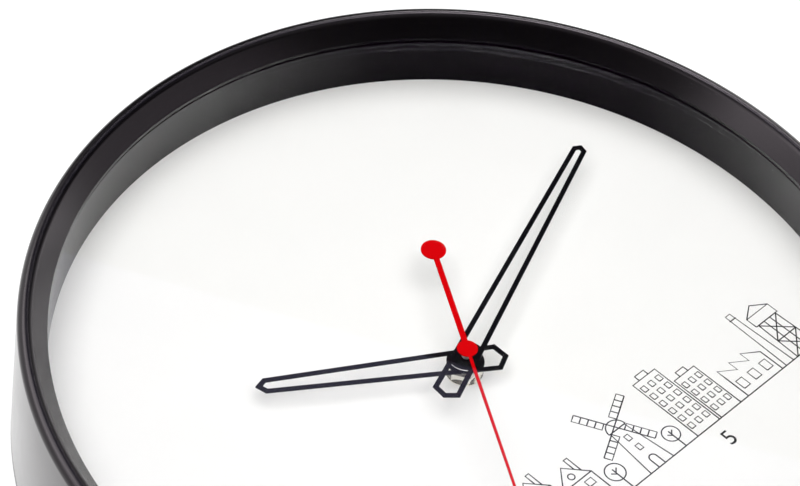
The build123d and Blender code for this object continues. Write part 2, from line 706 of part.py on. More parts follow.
# Step wheel: pinion on the second wheel, wheel on the rotor
step_pinion_near = SECOND_WHEEL_DEPTH - pinion_lead
with BuildPart() as step_wheel:
    gear(
        STEP_PINION_TEETH,
        second_module,
        step_phase,
        step_pinion_near,
        STEP_WHEEL_DEPTH - step_pinion_near,
        step_at,
    )
    gear(STEP_WHEEL_TEETH, rotor_module, 0, STEP_WHEEL_DEPTH, WHEEL_WIDTH, step_at)
    rod(PIVOT_RADIUS, bridge_pivot, rear_pivot, step_at)
    rod(ARBOR_RADIUS, BRIDGE_DEPTH + BRIDGE_THICK + RUNNING_CLEARANCE, step_pinion_near, step_at)
save(step_wheel, "step_wheel")

# Rotor: a magnet on a pinion
magnet_far = MAGNET_DEPTH + MAGNET_THICK
rotor_pinion_near = STEP_WHEEL_DEPTH - pinion_lead
with BuildPart() as rotor_pinion:
    gear(ROTOR_PINION_TEETH, rotor_module, rotor_phase, rotor_pinion_near, PINION_WIDTH, rotor_at)
    rod(ROTOR_ARBOR_RADIUS, MAGNET_DEPTH, rotor_pinion_near, rotor_at)
    rod(PIVOT_RADIUS, bridge_pivot, rear_pivot, rotor_at)
save(rotor_pinion, "rotor_pinion")

with BuildPart() as rotor_magnet:
    rod(MAGNET_RADIUS, MAGNET_DEPTH, magnet_far, rotor_at)
    rod(ROTOR_ARBOR_RADIUS, MAGNET_DEPTH, magnet_far, rotor_at, Mode.SUBTRACT)
save(rotor_magnet, "rotor_magnet")

# Stator: a ring round the magnet with two legs up to the coil
stator_far = STATOR_DEPTH + STATOR_THICK
stator_hole = MAGNET_RADIUS + STATOR_GAP
stator_radius = stator_hole + STATOR_RING
leg_top = COIL_HEIGHT + CORE_WIDTH / 2
leg_height = leg_top - rotor_at[1]
leg_centres = [COIL_LEFT + STATOR_LEG_WIDTH / 2, COIL_RIGHT - STATOR_LEG_WIDTH / 2]
with BuildPart() as stator_plate:
    with BuildSketch(behind(stator_far)) as stator:
        with Locations(rotor_at):
            Circle(stator_radius)
        with Locations(*[(leg, rotor_at[1] + leg_height / 2) for leg in leg_centres]):
            Rectangle(STATOR_LEG_WIDTH, leg_height)
        with Locations(((COIL_LEFT + COIL_RIGHT) / 2, rotor_at[1])):
            Rectangle(COIL_RIGHT - COIL_LEFT, 2 * STATOR_LEG_WIDTH)
        with Locations(rotor_at):
            Circle(stator_hole, mode=Mode.SUBTRACT)
    extrude(stator.sketch, amount=STATOR_THICK)
save(stator_plate, "stator_plate")

# Coil: core bar on the stator's legs, bobbin and winding
core_depth = stator_far + CORE_THICK / 2
core_middle = ((COIL_LEFT + COIL_RIGHT) / 2, COIL_HEIGHT)
bobbin_length = COIL_RIGHT - COIL_LEFT - 2 * STATOR_LEG_WIDTH - 2 * CONTACT_GAP
with BuildPart() as coil_core:
    block(COIL_RIGHT - COIL_LEFT, CORE_WIDTH, stator_far, stator_far + CORE_THICK, core_middle)
save(coil_core, "coil_core")

coil_end = Plane(
    origin=(
        core_middle[0] - bobbin_length / 2,
        core_depth - movement_front,
        COIL_HEIGHT - HANG_HEIGHT,
    ),
    x_dir=(0, 1, 0),
    z_dir=(1, 0, 0),
)
sleeve_thick = CORE_THICK + 2 * BOBBIN_WALL
sleeve_width = CORE_WIDTH + 2 * BOBBIN_WALL
winding_length = bobbin_length - 2 * BOBBIN_FLANGE
with BuildPart() as coil_bobbin:
    with BuildSketch(coil_end) as sleeve:
        Rectangle(sleeve_thick, sleeve_width)
    extrude(sleeve.sketch, amount=bobbin_length)
    for start in (0, bobbin_length - BOBBIN_FLANGE):
        with BuildSketch(coil_end.offset(start)) as flange:
            Circle(BOBBIN_FLANGE_RADIUS)
        extrude(flange.sketch, amount=BOBBIN_FLANGE)
    with BuildSketch(coil_end) as core_hole:
        Rectangle(CORE_THICK, CORE_WIDTH)
    extrude(core_hole.sketch, amount=bobbin_length, mode=Mode.SUBTRACT)
save(coil_bobbin, "coil_bobbin")

with BuildPart() as coil_winding:
    with BuildSketch(coil_end.offset(BOBBIN_FLANGE)) as turns:
        Circle(COIL_RADIUS)
        Rectangle(sleeve_thick, sleeve_width, mode=Mode.SUBTRACT)
    extrude(turns.sketch, amount=winding_length)
save(coil_winding, "coil_winding")

# Circuit board with its chip and crystal
with BuildPart() as circuit_board:
    block(board_width, board_height, board_near, board_far, board_middle)
    for post in stator_posts:
        rod(STATOR_POST_RADIUS + BOARD_POST_CLEARANCE, board_near, board_far, post, Mode.SUBTRACT)
save(circuit_board, "circuit_board")

chip_at = (-board_width / 4, board_middle[1])
with BuildPart() as control_chip:
    rod(CHIP_RADIUS, board_far, board_far + CHIP_HEIGHT, chip_at)
    fillet(control_chip.faces().sort_by(Axis.Y)[-1].edges(), CHIP_HEIGHT / 2)
save(control_chip, "control_chip")

crystal_low = -board_width / 2 + CRYSTAL_RADIUS
crystal_plane = Plane(
    origin=(
        crystal_low,
        board_far + CRYSTAL_RADIUS - movement_front,
        board_middle[1] - HANG_HEIGHT,
    ),
    x_dir=(0, 1, 0),
    z_dir=(1, 0, 0),
)
with BuildPart() as quartz_crystal:
    with BuildSketch(crystal_plane) as can:
        Circle(CRYSTAL_RADIUS)
    extrude(can.sketch, amount=CRYSTAL_LENGTH)
save(quartz_crystal, "quartz_crystal")

# Battery cell on its side in the bay, with the contacts at its ends
contact_outer = inner_half - CONTACT_GAP
contact_inner = contact_outer - CONTACT_THICK
cell_tip = contact_inner - CONTACT_GAP
cell_axis = Plane(
    origin=(cell_tip, cell_depth - movement_front, cell_at - HANG_HEIGHT),
    x_dir=(0, 1, 0),
    z_dir=(-1, 0, 0),
)
with BuildPart() as battery_cell:
    with BuildSketch(cell_axis) as nub:
        Circle(CELL_NUB_RADIUS)
    extrude(nub.sketch, amount=CELL_NUB_LENGTH)
    with BuildSketch(cell_axis.offset(CELL_NUB_LENGTH)) as cell:
        Circle(CELL_RADIUS)
    extrude(cell.sketch, amount=CELL_LENGTH)
save(battery_cell, "battery_cell")

contact_low = cell_at - CONTACT_WIDTH / 2
contact_high = cell_at + CONTACT_WIDTH / 2
contact_near = cell_depth - CONTACT_WIDTH / 2
contact_far = cell_depth + CONTACT_WIDTH / 2
tail_height = contact_tail_top - cell_at


def contact(side):
    """A contact blade at one end of the cell, with its tail up the side wall to the board."""
    across = side * (contact_inner + contact_outer) / 2
    block(CONTACT_THICK, CONTACT_WIDTH, contact_near, contact_far, (across, cell_at))
    middle = (across, cell_at + tail_height / 2)
    block(CONTACT_THICK, tail_height, contact_near, contact_near + CONTACT_TAIL_WIDTH, middle)


with BuildPart() as positive_contact:
    contact(1)
save(positive_contact, "positive_contact")

# The negative blade also has a bowed leaf that presses on the cell
cell_end = cell_tip - CELL_NUB_LENGTH - CELL_LENGTH
bow_top = cell_end - CONTACT_GAP
with BuildPart() as negative_contact:
    contact(-1)
    with BuildSketch(behind(contact_far)) as leaf:
        with BuildLine():
            ThreePointArc(
                (-contact_inner, contact_low),
                (bow_top, cell_at),
                (-contact_inner, contact_high),
            )
            Line((-contact_inner, contact_high), (-contact_outer, contact_high))
            ThreePointArc(
                (-contact_outer, contact_high),
                (bow_top - CONTACT_THICK, cell_at),
                (-contact_outer, contact_low),
            )
            Line((-contact_outer, contact_low), (-contact_inner, contact_low))
        make_face()
    extrude(leaf.sketch, amount=CONTACT_WIDTH)
save(negative_contact, "negative_contact")


def skeleton_hand(back, clockwise, tip, tip_shoulder, tip_half, tail, tail_shoulder, tail_half, bore):
    """A flat hand: a tapered open frame with pointed ends and a web round its bore."""
    with BuildSketch(front(back, QUARTER_TURN - clockwise)) as frame:
        with BuildLine():
            Polyline(
                (tip, 0),
                (tip_shoulder, tip_half),
                (-tail_shoulder, tail_half),
                (-tail, 0),
                (-tail_shoulder, -tail_half),
                (tip_shoulder, -tip_half),
                close=True,
            )
        outline = make_face()
        offset(amount=-HAND_RAIL, kind=Kind.INTERSECTION, mode=Mode.SUBTRACT)
        with BuildSketch(mode=Mode.PRIVATE) as web:
            Circle(HAND_HUB_RADIUS)
            add(outline, mode=Mode.INTERSECT)
        add(web.sketch_local)
        Circle(bore, mode=Mode.SUBTRACT)
    extrude(frame.sketch, amount=HAND_THICK)


# Hour and minute hands, pressed on their tubes
with BuildPart() as hour_hand:
    skeleton_hand(
        hour_hand_back,
        HOUR_HAND_ANGLE,
        HOUR_HAND_TIP,
        HOUR_HAND_TIP_SHOULDER,
        HOUR_HAND_TIP_HALF_WIDTH,
        HOUR_HAND_TAIL,
        HOUR_HAND_TAIL_SHOULDER,
        HOUR_HAND_TAIL_HALF_WIDTH,
        HOUR_TUBE_RADIUS,
    )
save(hour_hand, "hour_hand")

with BuildPart() as minute_hand:
    skeleton_hand(
        minute_hand_back,
        MINUTE_HAND_ANGLE,
        MINUTE_HAND_TIP,
        MINUTE_HAND_TIP_SHOULDER,
        MINUTE_HAND_TIP_HALF_WIDTH,
        MINUTE_HAND_TAIL,
        MINUTE_HAND_TAIL_SHOULDER,
        MINUTE_HAND_TAIL_HALF_WIDTH,
        MINUTE_TUBE_RADIUS,
    )
save(minute_hand, "minute_hand")

# Second hand: hub disc, needle and a round counterweight on its arm
with BuildPart() as second_hand:
    with BuildSketch(front(second_hand_back, QUARTER_TURN - SECOND_HAND_ANGLE)) as needle:
        with BuildLine():
            Polyline(
                (0, SECOND_HAND_NEEDLE_ROOT / 2),
                (SECOND_HAND_LENGTH, SECOND_HAND_NEEDLE_TIP / 2),
                (SECOND_HAND_LENGTH, -SECOND_HAND_NEEDLE_TIP / 2),
                (0, -SECOND_HAND_NEEDLE_ROOT / 2),
                close=True,
            )
        make_face()
        with Locations((-SECOND_HAND_DISC_REACH / 2, 0)):
            Rectangle(SECOND_HAND_DISC_REACH, SECOND_HAND_ARM)
        Circle(SECOND_HAND_HUB_RADIUS)
        with Locations((-SECOND_HAND_DISC_REACH, 0)):
            Circle(SECOND_HAND_DISC_RADIUS)
    extrude(needle.sketch, amount=SECOND_HAND_THICK)
save(second_hand, "second_hand")

# Pipe under the second hand's hub, pressed on the second arbor
with BuildPart() as second_pipe:
    column(SECOND_PIPE_RADIUS, second_hand_back - SECOND_PIPE_LENGTH, second_hand_back)
    column(
        SECOND_ARBOR_RADIUS,
        second_hand_back - SECOND_PIPE_LENGTH,
        second_hand_back,
        mode=Mode.SUBTRACT,
    )
save(second_pipe, "second_pipe")
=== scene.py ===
"""Looks of a round quartz wall clock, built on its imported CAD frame.

Metres, in the frame's own axes: +Z to twelve o'clock, +X to three o'clock, the dial faces -Y,
and the clock's rear edge lies on the plane Y = 0.
"""

import math

import bmesh
import bpy
from bpy.props import FloatProperty, FloatVectorProperty, IntProperty, PointerProperty
from mathutils import Matrix, Quaternion, Vector


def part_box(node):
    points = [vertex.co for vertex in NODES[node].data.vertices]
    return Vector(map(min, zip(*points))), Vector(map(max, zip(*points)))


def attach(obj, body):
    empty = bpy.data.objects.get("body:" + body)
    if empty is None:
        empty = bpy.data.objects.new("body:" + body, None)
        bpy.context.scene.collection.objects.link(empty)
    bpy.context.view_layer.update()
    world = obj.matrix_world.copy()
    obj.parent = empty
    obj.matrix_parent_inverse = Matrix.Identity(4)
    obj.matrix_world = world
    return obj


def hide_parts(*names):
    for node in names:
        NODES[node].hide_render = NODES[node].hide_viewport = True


bl_info = {
    "name": "Wall clock looks",
    "version": (1, 0, 0),
    "blender": (4, 5, 0),
    "location": "View3D > Sidebar > Clock",
    "description": "Dresses the frame of a round wall clock and sets its stage",
    "category": "Object",
}

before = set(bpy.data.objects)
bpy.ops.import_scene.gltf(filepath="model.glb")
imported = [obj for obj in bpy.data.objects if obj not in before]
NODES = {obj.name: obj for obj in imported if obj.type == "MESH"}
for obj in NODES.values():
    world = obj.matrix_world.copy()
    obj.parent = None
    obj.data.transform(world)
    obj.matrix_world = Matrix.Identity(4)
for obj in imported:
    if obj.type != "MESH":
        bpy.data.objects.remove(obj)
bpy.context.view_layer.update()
CASE_BODY = "clock_case"
MM = 0.001
FULL_TURN = 2 * math.pi

# Places read from the frame
CASE_LOW, CASE_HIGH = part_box("case_ring")
CASE_RADIUS = (CASE_HIGH.x - CASE_LOW.x) / 2
CASE_DEPTH = CASE_HIGH.y - CASE_LOW.y
AXIS_HEIGHT = (CASE_HIGH.z + CASE_LOW.z) / 2
DIAL_FRONT = -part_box("dial_plate")[0].y
DIAL_BACK = -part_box("dial_plate")[1].y
GLASS_FRONT = -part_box("lens_glass")[0].y
GLASS_BACK = -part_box("lens_glass")[1].y
REVEAL_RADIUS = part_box("reveal_ring")[1].x

# Values that the meshes share
SHARP_ANGLE = math.radians(28)
BEVEL_ANGLE = math.radians(40)
WELD = 0.001 * MM
ROUND_STEPS = 6

# Values that the finishes share
WHITE = (1.0, 1.0, 1.0)
NOISE_RANGE = (0.3, 0.7)
FINE_DETAIL = 3.0
MOTTLE_DETAIL = 4.0
TINT_DETAIL = 5.0
MOTTLE = 40.0
DRIFT = 0.25
METAL_DRIFT = 0.12
METAL_MOTTLE = 300.0
GRAIN_DEPTH = 0.02 * MM
LINE_DEPTH = 0.01 * MM
WIRE_DEPTH = 0.05 * MM
GLEAM_FACING = (0.31, 0.46)
GLEAM_WEIGHT = (0.12, 1.0)
# Radians that the wave texture's bands turn in each metre, at a scale of one
WAVE_RATE = 20


def length(name, description, default):
    """A size in metres that a user may change."""
    return FloatProperty(name=name, description=description, default=default, unit="LENGTH", precision=5)


def angle(name, description, default):
    """An angle, given in degrees and kept in radians."""
    return FloatProperty(name=name, description=description, default=math.radians(default), subtype="ANGLE")


def watts(name, description, default):
    """The power of a lamp."""
    return FloatProperty(name=name, description=description, default=default, unit="POWER")


def colour(name, description, default):
    """A linear colour that a user may change."""
    return FloatVectorProperty(
        name=name, description=description, default=default, subtype="COLOR", size=3, min=0.0, max=1.0
    )


def place(name, description, default):
    """A point in the frame, in metres."""
    return FloatVectorProperty(name=name, description=description, default=default, subtype="XYZ", size=3)


class ClockCaseSettings(bpy.types.PropertyGroup):
    """Sizes and colours of the case and the reveal ring."""

    draft: length("Draft", "How much smaller the case is at its front", 2.15 * MM)
    wall: length("Wall", "Thickness of the case's wall", 3.0 * MM)
    crest: length("Crest", "Radius of the rounded front edge", 3.0 * MM)
    lip_width: length("Lip width", "From the front radius to the opening", 9.95 * MM)
    lip_drop: length("Lip drop", "From the crest down to the opening's edge", 6.9 * MM)
    edge_round: length("Edge round", "Radius of the two rounded rear edges", 0.05 * MM)
    reveal_wall: length("Reveal wall", "Thickness of the dark ring inside the glass", 1.0 * MM)
    seat_gap: length("Seat gap", "Clearance between the glass and the pieces that hold it", 0.02 * MM)
    segments: IntProperty(name="Segments", description="Steps round the case", default=768, min=32)
    black: colour("Black", "Moulded case", (0.0012, 0.0009, 0.0013))
    gleam: colour("Gleam", "Tint of the moulded case's reflections", (1.0, 0.90, 0.97))
    reveal_black: colour("Reveal black", "Dark ring inside the glass", (0.0020, 0.0006, 0.0026))


class ClockDialSettings(bpy.types.PropertyGroup):
    """Sizes and colours of the dial and its print."""

    ground_drop: length("Ground drop", "From the hands' axis down to the printed ground line", 71.0 * MM)
    line_width: length("Line width", "Width of the printed lines", 0.54 * MM)
    ink_height: length("Ink height", "How far the ink stands on the dial", 0.03 * MM)
    numeral_height: length("Numeral height", "Height of the printed numbers", 6.0 * MM)
    numeral_drop: length("Numeral drop", "From the ground line down to the numbers' middle", 7.5 * MM)
    white: colour("White", "Lacquered dial", (0.90, 0.90, 0.89))
    ink: colour("Ink", "Printed lines", (0.006, 0.006, 0.007))


class ClockHandSettings(bpy.types.PropertyGroup):
    """Colours and edges of the hands."""

    edge: length("Edge", "Width of the hands' softened edges", 0.09 * MM)
    black: colour("Black", "Hour and minute hands", (0.0015, 0.0014, 0.0024))
    red: colour("Red", "Second hand", (0.60, 0.0010, 0.003))


class ClockStageSettings(bpy.types.PropertyGroup):
    """The camera and the light."""

    eye: place("Eye", "Where the camera stands", (-0.55628, -0.83664, -0.50919))
    target: place("Target", "Where the camera looks", (0.02552, -0.029, -0.03519))
    roll: angle("Roll", "Turn of the camera to the right, from upright", 52.1115)
    lens: FloatProperty(name="Lens", description="Focal length in millimetres", default=144.0, unit="CAMERA")
    fill: FloatProperty(name="Fill", description="Level of the light from all round", default=0.2)
    top_power: watts("Top power", "Wide softbox over the dial", 14.8)
    left_power: watts("Left power", "Softbox towards ten o'clock", 2.0)
    rear_power: watts("Rear power", "Softbox towards twelve o'clock", 2.6)
    low_power: watts("Low power", "Low strip towards three o'clock", 1.2)
    crest_power: watts("Crest power", "Each gridded strip for the crest", 0.042)
    wall_power: watts("Wall power", "Low panel beside the case", 0.043)


# Node trees


class NodeBuilder:
    """A node tree under construction, with short calls for its nodes and links."""

    COLUMN_WIDTH = 190

    def __init__(self, tree):
        self.tree = tree
        self.column = 0

    def add(self, kind, settings=None, **values):
        """A node with its own settings, then its inputs by name, given as values or as sockets."""
        node = self.tree.nodes.new(kind)
        node.location = (self.column * self.COLUMN_WIDTH, 0)
        self.column += 1
        for name, value in (settings or {}).items():
            setattr(node, name, value)
        for name, value in values.items():
            self.feed(node.inputs[name.replace("_", " ")], value)
        return node

    def result(self, kind, *feeds, **settings):
        """The first output of a node with its own settings, whose inputs are fed in their order."""
        node = self.add(kind, settings)
        for socket, value in zip(node.inputs, feeds):
            self.feed(socket, value)
        return node.outputs[0]

    def calc(self, operation, *feeds):
        """A sum, a product or the like of numbers."""
        return self.result("ShaderNodeMath", *feeds, operation=operation)

    def feed(self, socket, value):
        """Sets an input or links a socket to it."""
        if isinstance(value, bpy.types.NodeSocket):
            self.tree.links.new(value, socket)
        else:
            socket.default_value = value


NUMBER = "NodeSocketFloat"
WHOLE_NUMBER = "NodeSocketInt"
VECTOR = "NodeSocketVector"
COLOUR = "NodeSocketColor"
GEOMETRY = "NodeSocketGeometry"
MATERIAL = "NodeSocketMaterial"


def socket_kind(default):
    """The kind of socket that a default value needs."""
    if isinstance(default, tuple):
        return VECTOR if len(default) == 3 else COLOUR
    return WHOLE_NUMBER if isinstance(default, int) else NUMBER


def new_group(name, kind, inputs, outputs):
    """An empty node group. Inputs go by name to a default or, without one, to a kind; outputs to a kind."""
    tree = bpy.data.node_groups.new(name, kind)
    for label, default in inputs.items():
        bare = isinstance(default, str)
        socket_type = default if bare else socket_kind(default)
        socket = tree.interface.new_socket(name=label, in_out="INPUT", socket_type=socket_type)
        if not bare:
            socket.default_value = default
    for label, socket_type in outputs.items():
        tree.interface.new_socket(name=label, in_out="OUTPUT", socket_type=socket_type)
    build = NodeBuilder(tree)
    start = build.add("NodeGroupInput").outputs
    end = build.add("NodeGroupOutput").inputs
    return tree, build, start, end


# Shader groups


def object_point(build):
    """The place on the piece, in its own axes."""
    return build.add("ShaderNodeTexCoord").outputs["Object"]


def noise(build, point, scale, detail):
    """A noise over the places on a piece."""
    return build.add("ShaderNodeTexNoise", Vector=point, Scale=scale, Detail=detail).outputs["Fac"]


def mapped(build, value, source, target=(0.0, 1.0)):
    """A number carried over from one range to another."""
    ends = {"From_Min": source[0], "From_Max": source[1], "To_Min": target[0], "To_Max": target[1]}
    return build.add("ShaderNodeMapRange", Value=value, **ends).outputs["Result"]


def moulded_grain():
    """Shader group: fine moulding grain as a height, and slow mottling as a roughness."""
    tree, build, start, end = new_group(
        "moulded_grain",
        "ShaderNodeTree",
        {"Grain Scale": 900.0, "Mottle Scale": MOTTLE, "Smooth": 0.25, "Rough": 0.35},
        {"Height": NUMBER, "Roughness": NUMBER},
    )
    point = object_point(build)
    mottle = noise(build, point, start["Mottle Scale"], MOTTLE_DETAIL)
    build.feed(end["Height"], noise(build, point, start["Grain Scale"], FINE_DETAIL))
    build.feed(end["Roughness"], mapped(build, mottle, NOISE_RANGE, (start["Smooth"], start["Rough"])))
    return tree


def drifting_tint():
    """Shader group: a colour that drifts slowly between two close tints."""
    tree, build, start, end = new_group(
        "drifting_tint",
        "ShaderNodeTree",
        {"Scale": 60.0, "First": (0.5, 0.5, 0.5, 1.0), "Second": (0.6, 0.6, 0.6, 1.0)},
        {"Color": COLOUR},
    )
    drift = noise(build, object_point(build), start["Scale"], TINT_DETAIL)
    share = mapped(build, drift, NOISE_RANGE)
    tints = {"A": start["First"], "B": start["Second"]}
    mix = build.add("ShaderNodeMix", {"data_type": "RGBA"}, Factor=share, **tints)
    build.feed(end["Color"], mix.outputs["Result"])
    return tree


def turned_lines():
    """Shader group: fine lathe or brush lines across an axis, as a height and a roughness."""
    tree, build, start, end = new_group(
        "turned_lines",
        "ShaderNodeTree",
        {"Stretch": (40.0, 2000.0, 40.0), "Smooth": 0.15, "Rough": 0.35},
        {"Height": NUMBER, "Roughness": NUMBER},
    )
    point = object_point(build)
    drawn_out = build.result("ShaderNodeVectorMath", point, start["Stretch"], operation="MULTIPLY")
    lines = noise(build, drawn_out, 1.0, FINE_DETAIL)
    build.feed(end["Height"], lines)
    build.feed(end["Roughness"], mapped(build, lines, NOISE_RANGE, (start["Smooth"], start["Rough"])))
    return tree


GROUPS = {make.__name__: make() for make in (moulded_grain, drifting_tint, turned_lines)}


# Materials


def use_group(build, name, **values):
    """A shared effect placed in a material with its own values."""
    return build.add("ShaderNodeGroup", {"node_tree": GROUPS[name]}, **values).outputs


def moulded(build, grain, mottle, smooth, rough):
    """The grain and the gloss of a moulded or painted surface."""
    values = {"Grain_Scale": grain, "Mottle_Scale": mottle, "Smooth": smooth, "Rough": rough}
    return use_group(build, "moulded_grain", **values)


def opaque(values):
    """A colour as four numbers."""
    return (values[0], values[1], values[2], 1.0)


class Finish(NodeBuilder):
    """A material under construction."""

    def __init__(self, name):
        self.material = bpy.data.materials.new(name)
        self.material.use_nodes = True
        self.material.node_tree.nodes.clear()
        super().__init__(self.material.node_tree)
        self.surface = self.add("ShaderNodeOutputMaterial").inputs["Surface"]

    def made_of(self, shader):
        """The material, once a shader feeds its surface."""
        self.feed(self.surface, shader)
        return self.material

    def principled(self, **values):
        """The material, with one principled shader for all of its surface."""
        return self.made_of(self.add("ShaderNodeBsdfPrincipled", **values).outputs["BSDF"])


def tinted(build, tint, share, scale):
    """The drifting colour of a finish, from a tint and how far it drifts."""
    second = [min(1.0, value * (1 + share)) for value in tint]
    tints = {"First": opaque(tint), "Second": opaque(second)}
    return use_group(build, "drifting_tint", Scale=scale, **tints)["Color"]


def bump_from(build, height, strength, distance):
    """A bump normal from a height."""
    bump = build.add("ShaderNodeBump", Height=height, Strength=strength, Distance=distance)
    return bump.outputs["Normal"]


def plastic(name, tint, smooth, rough, ior=1.45, grain=900.0, bump=0.1, drift=DRIFT, shine=0.5, gleam=WHITE):
    """A moulded or painted finish with fine grain and mottled gloss."""
    build = Finish(name)
    effect = moulded(build, grain, MOTTLE, smooth, rough)
    return build.principled(
        Base_Color=tinted(build, tint, drift, MOTTLE),
        Roughness=effect["Roughness"],
        IOR=ior,
        Specular_IOR_Level=shine,
        Specular_Tint=opaque(gleam),
        Normal=bump_from(build, effect["Height"], bump, GRAIN_DEPTH),
    )


def reveal_black(tint):
    """Black plastic, dull where it is seen square on, that gleams where it is seen along its surface."""
    build = Finish("reveal_black")
    effect = moulded(build, grain=4000.0, mottle=MOTTLE, smooth=0.14, rough=0.17)
    facing = build.add("ShaderNodeLayerWeight", Blend=0.5).outputs["Facing"]
    return build.principled(
        Base_Color=tinted(build, tint, DRIFT, MOTTLE),
        Roughness=effect["Roughness"],
        Specular_IOR_Level=0.0,
        Coat_Weight=mapped(build, facing, GLEAM_FACING, GLEAM_WEIGHT),
        Coat_Roughness=0.15,
        Coat_IOR=1.66,
        Normal=bump_from(build, effect["Height"], 0.003, GRAIN_DEPTH),
    )


def metal(name, tint, smooth, rough, stretch=(40.0, 2000.0, 40.0), bump=0.08):
    """A metal finish with fine turned or brushed lines."""
    build = Finish(name)
    effect = use_group(build, "turned_lines", Stretch=stretch, Smooth=smooth, Rough=rough)
    return build.principled(
        Base_Color=tinted(build, tint, METAL_DRIFT, METAL_MOTTLE),
        Metallic=1.0,
        Roughness=effect["Roughness"],
        Normal=bump_from(build, effect["Height"], bump, LINE_DEPTH),
    )


def clear_glass():
    """Flat clear glass that lets light through without dark shadows."""
    build = Finish("clear_glass")
    glass = build.add(
        "ShaderNodeBsdfPrincipled",
        Base_Color=(0.995, 0.993, 0.990, 1.0),
        Roughness=moulded(build, grain=30.0, mottle=12.0, smooth=0.0, rough=0.015)["Roughness"],
        IOR=1.45,
        Transmission_Weight=1.0,
    ).outputs["BSDF"]
    path = build.add("ShaderNodeLightPath").outputs
    through = build.calc("MAXIMUM", path["Is Shadow Ray"], path["Is Diffuse Ray"])
    clear = build.add("ShaderNodeBsdfTransparent", Color=(0.985, 0.984, 0.982, 1.0)).outputs["BSDF"]
    return build.made_of(build.result("ShaderNodeMixShader", through, glass, clear))


def cell_sleeve(low, high):
    """A plain blue battery sleeve with bare steel ends and a gold band near the nub."""
    build = Finish("cell_sleeve")
    across = build.add("ShaderNodeSeparateXYZ", Vector=object_point(build)).outputs["X"]
    ramp = build.add("ShaderNodeValToRGB", Fac=mapped(build, across, (low, high)))
    steel = (0.62, 0.62, 0.63, 1.0)
    blue = (0.02, 0.07, 0.26, 1.0)
    gold = (0.72, 0.48, 0.16, 1.0)
    bands = [(0.0, steel), (0.012, blue), (0.78, gold), (0.965, steel)]
    ramp.color_ramp.interpolation = "CONSTANT"
    while len(ramp.color_ramp.elements) < len(bands):
        ramp.color_ramp.elements.new(0.5)
    for element, (start, tint) in zip(ramp.color_ramp.elements, bands):
        element.position = start
        element.color = tint
    effect = moulded(build, grain=500.0, mottle=60.0, smooth=0.18, rough=0.3)
    return build.principled(
        Base_Color=ramp.outputs["Color"],
        Metallic=0.6,
        Roughness=effect["Roughness"],
        Normal=bump_from(build, effect["Height"], 0.03, GRAIN_DEPTH),
    )


def copper_turns(pitch):
    """Enamelled wire wound along X, one ridge to a turn."""
    build = Finish("copper_turns")
    wave = build.add(
        "ShaderNodeTexWave",
        {"wave_type": "BANDS", "bands_direction": "X", "wave_profile": "SIN"},
        Vector=object_point(build),
        Scale=FULL_TURN / (WAVE_RATE * pitch),
        Distortion=0.0,
    )
    return build.principled(
        Base_Color=tinted(build, (0.55, 0.20, 0.07), 0.2, 400.0),
        Metallic=1.0,
        Roughness=0.3,
        Normal=bump_from(build, wave.outputs["Fac"], 0.8, WIRE_DEPTH),
    )


# Geometry node trees


def new_tree(name, inputs):
    """An empty geometry tree that gives one mesh."""
    return new_group(name, "GeometryNodeTree", inputs, {"Geometry": GEOMETRY})


def compare(build, operation, first, second):
    """Whether a number is more or less than another."""
    settings = {"data_type": "FLOAT", "operation": operation}
    return build.add("FunctionNodeCompare", settings, A=first, B=second).outputs["Result"]


def both(build, first, second):
    """Whether two things are true."""
    return build.result("FunctionNodeBooleanMath", first, second, operation="AND")


def between(build, value, low, high):
    """Whether a number lies between two others."""
    return both(build, compare(build, "GREATER_THAN", value, low), compare(build, "LESS_THAN", value, high))


def welded(build, mesh):
    """A mesh whose touching points are joined."""
    return build.add("GeometryNodeMergeByDistance", Geometry=mesh, Distance=WELD).outputs["Geometry"]


def soften_by_angle(build, mesh, limit):
    """Smooth shading on all faces, with the edges that turn more than a limit left sharp."""
    smooth = build.add("GeometryNodeSetShadeSmooth", {"domain": "FACE"}, Geometry=mesh)
    turn = build.add("GeometryNodeInputMeshEdgeAngle").outputs["Unsigned Angle"]
    edges = build.add(
        "GeometryNodeSetShadeSmooth",
        {"domain": "EDGE"},
        Geometry=smooth.outputs["Geometry"],
        Selection=compare(build, "GREATER_THAN", turn, limit),
        Shade_Smooth=False,
    )
    return edges.outputs["Geometry"]


def finished(build, geometry, material):
    """The end of a piece's tree: plain meshes with their finish."""
    real = build.add("GeometryNodeRealizeInstances", Geometry=geometry)
    painted = build.add("GeometryNodeSetMaterial", Geometry=real.outputs["Geometry"], Material=material)
    return painted.outputs["Geometry"]


def soft_edge_tree():
    """Geometry nodes: joins a CAD mesh's triangles and shades its round faces smooth."""
    tree, build, start, end = new_tree("soft_edges", {"Geometry": GEOMETRY, "Sharp Angle": SHARP_ANGLE})
    joined = welded(build, start["Geometry"])
    build.feed(end["Geometry"], soften_by_angle(build, joined, start["Sharp Angle"]))
    return tree


